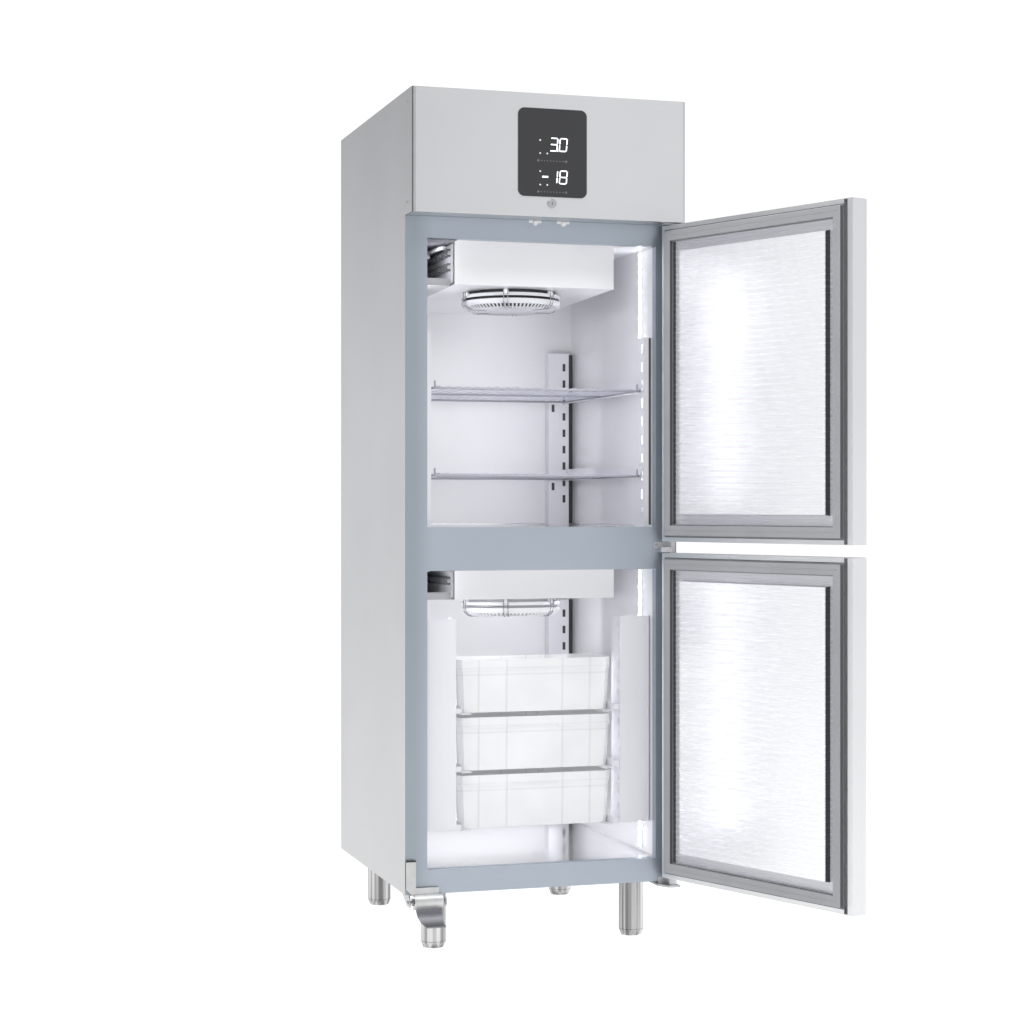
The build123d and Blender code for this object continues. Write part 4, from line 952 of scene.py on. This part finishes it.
def guard_form(radius, drop):
    """A moulded fan guard about z, below its tray: a turned ring, a turned bowl, a smooth boss, and
    radial bars that run down the bowl's shoulder and across its floor to the boss."""
    r = radius - 0.0035
    ring = rounded_strip(r - 0.004, r, -0.0172, -0.0088, 0.0012)
    bowl = [(r, -0.0238), (r - 0.0005, -0.0295), (r - 0.003, -0.0345), (r - 0.0060, -0.0370),
            (r - 0.0075, -0.0352), (r - 0.0053, -0.0330), (r - 0.0033, -0.0285),
            (r - 0.0033, -0.0238)]
    boss = [(0, -drop), (0.020, -drop), (r - 0.072, -drop), (r - 0.0695, -drop + 0.0006),
            (r - 0.069, -drop + 0.0015), (r - 0.0695, -drop + 0.0024), (0.020, -drop + 0.003),
            (0, -drop + 0.003)]
    band = rounded_strip(r - 0.0235, r - 0.0185, -drop, -drop + 0.0028, 0.0006)
    edge = [(r - 0.071, -drop + 0.0002), (r - 0.0185, -drop + 0.0002), (r - 0.0045, -0.0362),
            (r - 0.0065, -0.0352), (r - 0.0195, -drop + 0.0026), (r - 0.071, -drop + 0.0026)]
    spoke = shifted(plate(edge, 0.0042), 0, 0.0021, 0)
    spokes = [moved(spoke, Matrix.Rotation(math.radians(5 * k), 4, "Z")) for k in range(72)]
    rings = [ring_profile(p, 96) for p in (ring, bowl, band)]
    return joined(rings + [turned_form(boss, 72)] + spokes)


def guard_struts(r, drop):
    """Six struts round a guard, each of two thin rods that run from the tray down over the bowl,
    and the six round knobs that hold them."""
    knob = [(0, -0.0146), (0.0034, -0.0140), (0.0064, -0.0112), (0.0074, -0.0076),
            (0.0064, -0.0036), (0.0040, -0.0006), (0, -0.0002)]
    run = [(0.0016, 1, -0.0005), (0.0012, 1, -0.010), (0.0012, 1, -0.024), (0.0030, 1, -0.035),
           (0.0105, 1, -0.0425), (0.019, 1, -drop + 0.0004), (0.060, 0.7, -drop + 0.0004)]
    rods, knobs = [], []
    for k in range(6):
        turn = Matrix.Rotation(math.radians(9 + 60 * k), 4, "Z")
        knobs.append(moved(shifted(turned_form(knob, 16), r - 0.0074, 0, 0), turn))
        for side in (-0.0054, 0.0054):
            path = [(r - inset, side * share, z) for inset, share, z in run]
            rods.append(moved(tube(path, 0.0014), turn))
    return joined(rods), joined(knobs)


def throat_form(radius):
    """The wall of a fan's opening inside its guard: a turned ring that flares out below, over the
    shoulder of the bowl."""
    r = radius - 0.0035
    return ring_profile([(r - 0.0200, -0.0416), (r - 0.0065, -0.0338), (r - 0.0065, -0.0328),
                         (r - 0.0120, -0.0345), (r - 0.0120, -0.0004), (r - 0.0130, -0.0004),
                         (r - 0.0130, -0.0352), (r - 0.0206, -0.0400)], 96)


class FRIDGE_OT_fan_guards(bpy.types.Operator):
    """Moulded grilles under the two evaporator fans"""
    bl_idname = "fridge.fan_guards"
    bl_label = "Fan guards"

    def execute(self, context):
        radius, drop = sizes().guard_radius, sizes().guard_drop
        rods, knobs = guard_struts(radius, drop)
        dish, throat = guard_form(radius, drop), throat_form(radius)
        # The lower guard and its throat are paler copies of the upper ones, painted light.
        for half, dish_look, throat_look in (("upper", "grey_plastic", "black_paint"),
                                             ("lower", "pale_guard", "pale_throat")):
            for title, form, look, slot, replaces in (
                    ("guard", dish, dish_look, "grey_plastic", (f"{half}_fan_guard",)),
                    ("guard_rods", rods, "grid_rim", "bright_steel", ()),
                    ("guard_knobs", knobs, "pale_guard", "grey_plastic", ()),
                    ("fan_throat", throat, throat_look, "dark_plastic", ())):
                part = moved(form, tray_place(CEILINGS[half]))
                add_piece(f"{half}_{title}", part, "cabinet", look, replaces, smooth=35)
        return {"FINISHED"}


def shelf_form(level, radius):
    """A round-cornered rim with a middle rod and corner stops, and apart from it the close wires
    along y that lie on it, all round bars."""
    half, corner, rim = SHELF_WIDTH / 2, 0.010, 0.003
    x, y0, y1 = half - rim - corner, SHELF_FRONT + rim + corner, SHELF_BACK - rim - corner
    high, middle, top = level + rim, (SHELF_FRONT + SHELF_BACK) / 2, level + 0.0075
    a = np.linspace(0, math.pi / 2, 9)
    loop = np.vstack([np.stack([cx + corner * np.cos(a + turn * math.pi / 2),
                                cy + corner * np.sin(a + turn * math.pi / 2), np.full(9, high)], -1)
                      for turn, (cx, cy) in enumerate(((x, y1), (-x, y1), (-x, y0), (x, y0)))])
    parts = [tube(loop, rim, 10, closed=True),
             tube([(0.004 - half, middle, high), (half - 0.004, middle, high)], 0.0025)]
    stop = ((0.2610, high), (0.2630, level + 0.006), (0.2635, level + 0.021))
    parts += [tube([(side * x, SHELF_FRONT + 0.003, z) for x, z in stop], 0.0022)
              for side in (-1, 1)]
    wire = [(SHELF_FRONT, -0.0008), (SHELF_FRONT + 0.004, 0), (middle, 0), (SHELF_BACK - 0.004, 0),
            (SHELF_BACK, -0.0008)]
    wires = [tube([(SHELF_PITCH * k, y, top + rise) for y, rise in wire], radius)
             for k in range(-10, 11)]
    return joined(parts), joined(wires)


class FRIDGE_OT_shelves(bpy.types.Operator):
    """Round-wire shelves in place of the plain ones"""
    bl_idname = "fridge.shelves"
    bl_label = "Wire shelves"

    def execute(self, context):
        for half in DOORS:
            replaced = f"wire_shelf_{half}"
            forms = shelf_form(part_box(replaced)[0].z, sizes().wire_radius)
            for title, form, look in zip(("rim", "wires"), forms, ("grid_rim", "grid_wire")):
                add_piece(f"shelf_{title}_{half}", form, f"{half}_shelf", look,
                          (replaced,), smooth=40)
        return {"FINISHED"}


class FRIDGE_OT_feet(bpy.types.Operator):
    """Turned foot ends below the sleeves"""
    bl_idname = "fridge.feet"
    bl_label = "Feet"

    def execute(self, context):
        r = sizes().foot_radius
        profile = [(0, 0), (r - 0.0075, 0), (r - 0.006, 0.0006), (r - 0.0045, 0.004),
                   (r - 0.0006, 0.0135), (r - 0.0003, 0.0155), (r - 0.002, 0.016), (0.008, 0.016),
                   (0.0076, 0.018), (0.0076, 0.132), (0.0066, 0.134), (0, 0.134)]
        for foot in ("front_left", "front_right", "rear_left", "rear_right"):
            low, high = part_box(f"foot_{foot}")
            part = shifted(turned_form(profile, 64), (low.x + high.x) / 2 - ORIGIN[0],
                           (low.y + high.y) / 2 - ORIGIN[1], 0)
            add_piece(f"foot_end_{foot}", part, f"{foot}_foot", "drawn_tube",
                      (f"foot_{foot}",), smooth=35)
        return {"FINISHED"}


def opened(part):
    """A part of the closed door swung to its place at rest."""
    pin = Matrix.Translation((*PIN, 0))
    return moved(part, pin @ Matrix.Rotation(OPEN, 4, "Z") @ pin.inverted())


def seal_form(low, high):
    """A door seal on the closed door: a foot, two folds in each wall and a bead with a shallow
    groove, as one outline across the band, in millimetres, carried round the door."""
    half = [(-2.0, 0), (-2.0, 2.6), (-1.2, 3.6), (1.4, 3.9), (1.0, 5.0), (0.2, 6.1), (1.1, 7.3),
            (0.1, 8.6), (0.2, 10.2), (1.2, 11.3), (2.8, 11.5), (11.4, 11.5), (12.0, 11.1)]
    outline = half + [(26.0 - u, h) for u, h in half[::-1]]
    return outward(framed([(u / 1000, h / 1000 - DOOR_GAP) for u, h in outline], low, high))


class FRIDGE_OT_seals(bpy.types.Operator):
    """Folded magnetic seals round the inner door panels"""
    bl_idname = "fridge.seals"
    bl_label = "Door seals"

    def execute(self, context):
        for half, (z0, z1) in DOORS.items():
            form = seal_form((-0.315, z0 + 0.015), (0.328, z1 - 0.015))
            add_piece(f"{half}_seal", opened(form), f"{half}_door", "seal_rubber",
                      (f"{half}_door_gasket",), smooth=25)
        return {"FINISHED"}


def bend_pipe(y, z, reach=0.005, gap=0.015):
    """A return bend on a coil's end: out along -x, half round in the y, z plane and back."""
    a = np.linspace(-math.pi / 2, math.pi / 2, 9)
    arc = np.stack([COIL_END - reach - gap / 2 * np.cos(a) * 0.9, np.full(9, y),
                    z + gap / 2 * np.sin(a)], -1)
    root = COIL_END + 0.004
    return tube(np.vstack([[(root, y, z - gap / 2)], arc, [(root, y, z + gap / 2)]]), 0.0030, 10)


def header_form(ceiling):
    """A suction pipe below the ceiling that runs back beside the coil and bends down to its end."""
    run = ((-0.2290, 0.098, 0), (-0.2345, 0.108, 0), (-0.2365, 0.130, 0), (-0.2385, 0.400, 0),
           (-0.2385, 0.600, 0), (-0.2365, 0.622, 0.002), (-0.2240, 0.636, 0.006))
    return tube([(x, y, ceiling - 0.012 - fall) for x, y, fall in run], 0.0050, 12)


class FRIDGE_OT_pipework(bpy.types.Operator):
    """End plates, return bends and pipes on the open sides of the evaporators"""
    bl_idname = "fridge.pipework"
    bl_label = "Evaporator pipework"

    def execute(self, context):
        for half, top in CEILINGS.items():
            end = bar((COIL_END, 0.066, top - 0.1005), (COIL_END + 0.0007, 0.700, top - 0.0035),
                      0.0002)
            bends = joined([bend_pipe(y, top - z) for y in np.arange(0.096, 0.440, 0.0265)
                            for z in (0.0245, 0.0600)])
            # A dark sheet of painted shade under the ceiling, beside the housing.
            cover = bar((-0.2925, 0.014, top - 0.0016), (-0.2150, 0.450, top - 0.0002), 0.0004)
            for title, part, look, slot, smooth in (
                    ("coil_end", end, "coil_plate", "coil_aluminium", None),
                    ("coil_bends", bends, "coil_pipe", "coil_aluminium", 40),
                    ("coil_header", header_form(top), "pale_steel", "bright_steel", 40),
                    ("ceiling_shade_sheet", cover, "duct_plastic", "dark_plastic", None)):
                add_piece(f"{half}_{title}", part, "cabinet", look, smooth=smooth)
        return {"FINISHED"}


def post_shade_form(z0, z1):
    """Dark strips of painted shade behind the slots of the two rear rack posts, and between post
    and wall.
    """
    parts = []
    for side in (-1, 1):
        for x0, x1, y0, y1 in ((0.2230, 0.2780, 0.7068, 0.7078), (0.2842, 0.2944, 0.7160, 0.7360)):
            low, high = sorted((side * x0, side * x1))
            parts.append(bar((low, y0, z0 + 0.002), (high, y1, z1 - 0.002), 0.0002))
    return joined(parts)


class FRIDGE_OT_uprights(bpy.types.Operator):
    """Painted shade behind the rear posts' slots and between post and wall, and dark strips at the
    front posts' edges
    """
    bl_idname = "fridge.uprights"
    bl_label = "Rack post shade strips"

    def execute(self, context):
        forms = {f"{half}_post_shade_strips": post_shade_form(z0, z1) for half, z0, z1 in POSTS}
        # Dark strips along the front posts' edges.
        forms["post_edges"] = joined([bar((x, 0.0370, 1.045), (x + 0.0056, 0.0378, 1.519), 0.0002)
                                      for x in (-0.2946, 0.2890)])
        for name, form in forms.items():
            add_piece(name, form, "cabinet", "dark_plastic")
        return {"FINISHED"}


def lock_form(place, r, proud):
    """Face of the key lock: a dished ring round a plug, as turned rings, and a bar that paints the
    shade of the keyway.
    """
    ring = [(r - 0.0026, 0), (r - 0.0004, 0), (r, 0.0006), (r, proud - 0.0008), (r - 0.0008, proud),
            (r - 0.0018, proud), (r - 0.0030, proud - 0.0010)]
    plug = [(0, 0), (r - 0.0036, 0), (r - 0.0036, proud - 0.0012), (r - 0.0044, proud - 0.0005),
            (0, proud - 0.0005)]
    keyway_shade = bar((-0.0007, -0.0036, proud - 0.0008), (0.0007, 0.0036, proud + 0.0001), 0.0002)
    turn = Matrix.Translation(place) @ Matrix.Rotation(math.radians(90), 4, "X")
    return moved(joined([ring_profile(ring, 48), turned_form(plug, 48)]), turn), moved(keyway_shade, turn)


class FRIDGE_OT_lock(bpy.types.Operator):
    """Ring and plug of the lock, and the painted shade of its keyway"""
    bl_idname = "fridge.lock"
    bl_label = "Lock face"

    def execute(self, context):
        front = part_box("lock_cylinder")[0].y - ORIGIN[1]
        face, keyway_shade = lock_form((0.0005, front + 0.0032, 1.834), 0.0112, 0.0034)
        add_piece("lock_face", face, "lock", "lock_steel", smooth=35)
        add_piece("lock_keyway_shade", keyway_shade, "lock", "black_paint")
        # A black bar on the plug paints the shade of the keyway's slot.
        return {"FINISHED"}


class FRIDGE_OT_pedal(bpy.types.Operator):
    """Dark tip and rivets of the foot pedal"""
    bl_idname = "fridge.pedal"
    bl_label = "Pedal details"

    def execute(self, context):
        tip = bar((-0.3492, -0.0086, 0.2262), (-0.3248, -0.0044, 0.2306), 0.0008)
        add_piece("pedal_tip", tip, "pedal", "black_paint")
        head = [(0, 0), (0.0026, 0), (0.0026, 0.0006), (0.0018, 0.0014), (0, 0.0016)]
        turn = Matrix.Rotation(math.radians(90), 4, "X")
        rivets = [moved(turned_form(head, 12), Matrix.Translation((x, -0.0222, 0.1275)) @ turn)
                  for x in (-0.307, -0.288, -0.276)]
        add_piece("pedal_rivets", joined(rivets), "pedal", "dark_plastic",
                  smooth=35)
        return {"FINISHED"}


def area_light(name, place, target, size, energy, colour=WHITE):
    """A rectangular light at a place, turned to a target, that the camera doesn't see."""
    light = bpy.data.lights.new(name, "AREA")
    light.shape = "RECTANGLE"
    light.size, light.size_y = size
    light.energy, light.color = energy, colour
    lamp = bpy.data.objects.new(name, light)
    bpy.context.scene.collection.objects.link(lamp)
    lamp.location = Vector(place) + Vector(ORIGIN)
    lamp.rotation_euler = (Vector(target) - Vector(place)).to_track_quat("-Z", "Y").to_euler()
    lamp.visible_camera = False
    return lamp


def surround(tree, strength):
    """Studio surround: plain white where the camera sees it, and for everything that it lights a
    soft field that falls off upwards, is a little brighter on the right, and is dimmer behind and
    ahead on the left."""
    split = new_node(tree, "SeparateXYZ")
    link(tree, new_node(tree, "TexCoord").outputs["Generated"], split.inputs[0])
    x, y, z = split.outputs
    rise = ranged(tree, z, 0.055, 0.17, 0.0, 0.38)
    behind = maths(tree, "MULTIPLY", ranged(tree, y, 0.1, 0.7), rise)
    dim = maths(tree, "MULTIPLY_ADD", ranged(tree, y, -0.2, -0.8),
                ranged(tree, x, 0.32, 0.20, 0.0, 0.32), behind)
    field = maths(tree, "MULTIPLY", ranged(tree, z, 0.0, 0.55, 1.0, 0.45),
                  ranged(tree, x, -0.6, 0.7, 0.98, 1.16))
    field = maths(tree, "MULTIPLY", field, maths(tree, "SUBTRACT", 1.0, dim))
    lit, seen = tree.nodes["Background"], new_node(tree, "Background")
    mix, ray = new_node(tree, "MixShader"), new_node(tree, "LightPath")
    for source, target in (((0.97, 0.98, 1.0, 1.0), lit.inputs["Color"]),
                           (maths(tree, "MULTIPLY", field, strength), lit.inputs["Strength"]),
                           ((*WHITE, 1.0), seen.inputs["Color"]), (1.05, seen.inputs["Strength"]),
                           (ray.outputs["Is Camera Ray"], mix.inputs["Fac"]),
                           (lit.outputs[0], mix.inputs[1]), (seen.outputs[0], mix.inputs[2]),
                           (mix.outputs[0], tree.nodes["World Output"].inputs["Surface"])):
        link(tree, source, target)


def make_camera(scene, lens, yaw):
    """The camera of the photograph's view: level, and turned to the right."""
    data = bpy.data.cameras.new("Camera")
    data.lens, data.sensor_width, data.clip_end = lens, 36.0, 100.0
    data.shift_x, data.shift_y = CAMERA_SHIFT
    scene.camera = bpy.data.objects.new("Camera", data)
    scene.collection.objects.link(scene.camera)
    scene.camera.location = Vector(CAMERA_PLACE) + Vector(ORIGIN)
    scene.camera.rotation_euler = (math.radians(90), 0, -yaw)


def make_floor(scene):
    """A wide pale floor."""
    f = FLOOR_HALF
    mesh = bpy.data.meshes.new("floor")
    mesh.from_pydata([(-f, -f, 0), (f, -f, 0), (f, f, 0), (-f, f, 0)], [], [(0, 1, 2, 3)])
    mesh.materials.append(finish("pale_floor"))
    floor = bpy.data.objects.new("floor", mesh)
    scene.collection.objects.link(floor)


def make_lights(s):
    """The large light overhead, a weak one ahead, the light bars and their gleam on the doors, and
    soft lights for the coils' ends and the depths of the compartments."""
    area_light("Overhead", (0, -0.6, 5.2), (0, -0.6, 0), (7.0, 7.0), s.key_light)
    area_light("Front", (1.6, -4.6, 2.4), (0, 0, 0.9), (2.6, 3.0), s.front_light)
    soft = []
    for z0, z1 in LIGHT_BARS:
        z, tall = (z0 + z1) / 2, z1 - z0 - 0.03
        for side in (-1, 1):
            soft.append(area_light(f"Strip {side} {z0}", (side * 0.2870, 0.111, z), (0, 0.16, z),
                                   (0.014, tall), s.inner_light, (0.95, 0.97, 1.0)))
        gleam = area_light(f"Gleam {z0}", (-0.115, 0.012, z), (0.45, -0.35, z), (0.012, tall),
                           s.gleam_light)
        gleam.visible_diffuse = False
    for half, ceiling in CEILINGS.items():
        z = ceiling - 0.055
        soft.append(area_light(f"Coil {half}", (-0.262, 0.012, z), (-0.245, 0.3, z), (0.05, 0.07),
                               s.coil_light))
    for name, y, z, size, energy in (
            ("Upper opening", 0.012, 1.40, (0.42, 0.50), s.fill_light),
            ("Upper back", 0.43, 1.26, (0.46, 0.50), s.deep_light * 1.25),
            ("Lower back", 0.43, 0.80, (0.50, 0.20), s.deep_light * 1.3),
            ("Behind crates", 0.69, 0.42, (0.50, 0.40), s.deep_light)):
        soft.append(area_light(name, (0, y, z), (0, 1, z), size, energy))
    soft.append(area_light("Under crates", (0, 0.34, 0.284), (0, 0.34, 0), (0.52, 0.56),
                           s.deep_light * 2.2))
    for lamp in soft:
        lamp.visible_glossy = False


class FRIDGE_OT_studio(bpy.types.Operator):
    """Camera, pale floor, surrounding light and soft lights"""
    bl_idname = "fridge.studio"
    bl_label = "Camera, floor and lights"

    def execute(self, context):
        scene = context.scene
        s = scene.fridge_studio
        make_camera(scene, s.lens, s.yaw)
        scene.world = bpy.data.worlds.new("Room")
        scene.world.use_nodes = True
        surround(scene.world.node_tree, s.room_light)
        make_floor(scene)
        make_lights(s)
        scene.view_settings.view_transform = "Standard"
        scene.view_settings.look = "None"
        return {"FINISHED"}


class FRIDGE_PT_panel(bpy.types.Panel):
    """Lists the refrigerator's operators"""
    bl_idname = "FRIDGE_PT_panel"
    bl_label = "Refrigerator"
    bl_space_type = "VIEW_3D"
    bl_region_type = "UI"
    bl_category = "Refrigerator"

    def draw(self, context):
        for prop in PROPERTIES:
            group = getattr(context.scene, prop)
            for name in group.__annotations__:
                self.layout.prop(group, name)
        for operator in OPERATORS:
            self.layout.operator(operator.bl_idname)


OPERATORS = (FRIDGE_OT_studio, FRIDGE_OT_finishes, FRIDGE_OT_display, FRIDGE_OT_lock,
             FRIDGE_OT_fan_guards, FRIDGE_OT_pipework, FRIDGE_OT_uprights, FRIDGE_OT_shelves,
             FRIDGE_OT_seals, FRIDGE_OT_pedal, FRIDGE_OT_feet)
PROPERTIES = {"fridge_sizes": FridgeSizes, "fridge_colours": FridgeColours,
              "fridge_studio": FridgeStudio}


def register():
    for kind in (*PROPERTIES.values(), *OPERATORS, FRIDGE_PT_panel):
        bpy.utils.register_class(kind)
    for name, group in PROPERTIES.items():
        setattr(bpy.types.Scene, name, PointerProperty(type=group))


def unregister():
    for name in PROPERTIES:
        delattr(bpy.types.Scene, name)
    for kind in reversed((*PROPERTIES.values(), *OPERATORS, FRIDGE_PT_panel)):
        bpy.utils.unregister_class(kind)


def main():
    register()
    for operator in OPERATORS:
        group, name = operator.bl_idname.split(".")
        getattr(getattr(bpy.ops, group), name)()


if __name__ == "__main__":
    main()
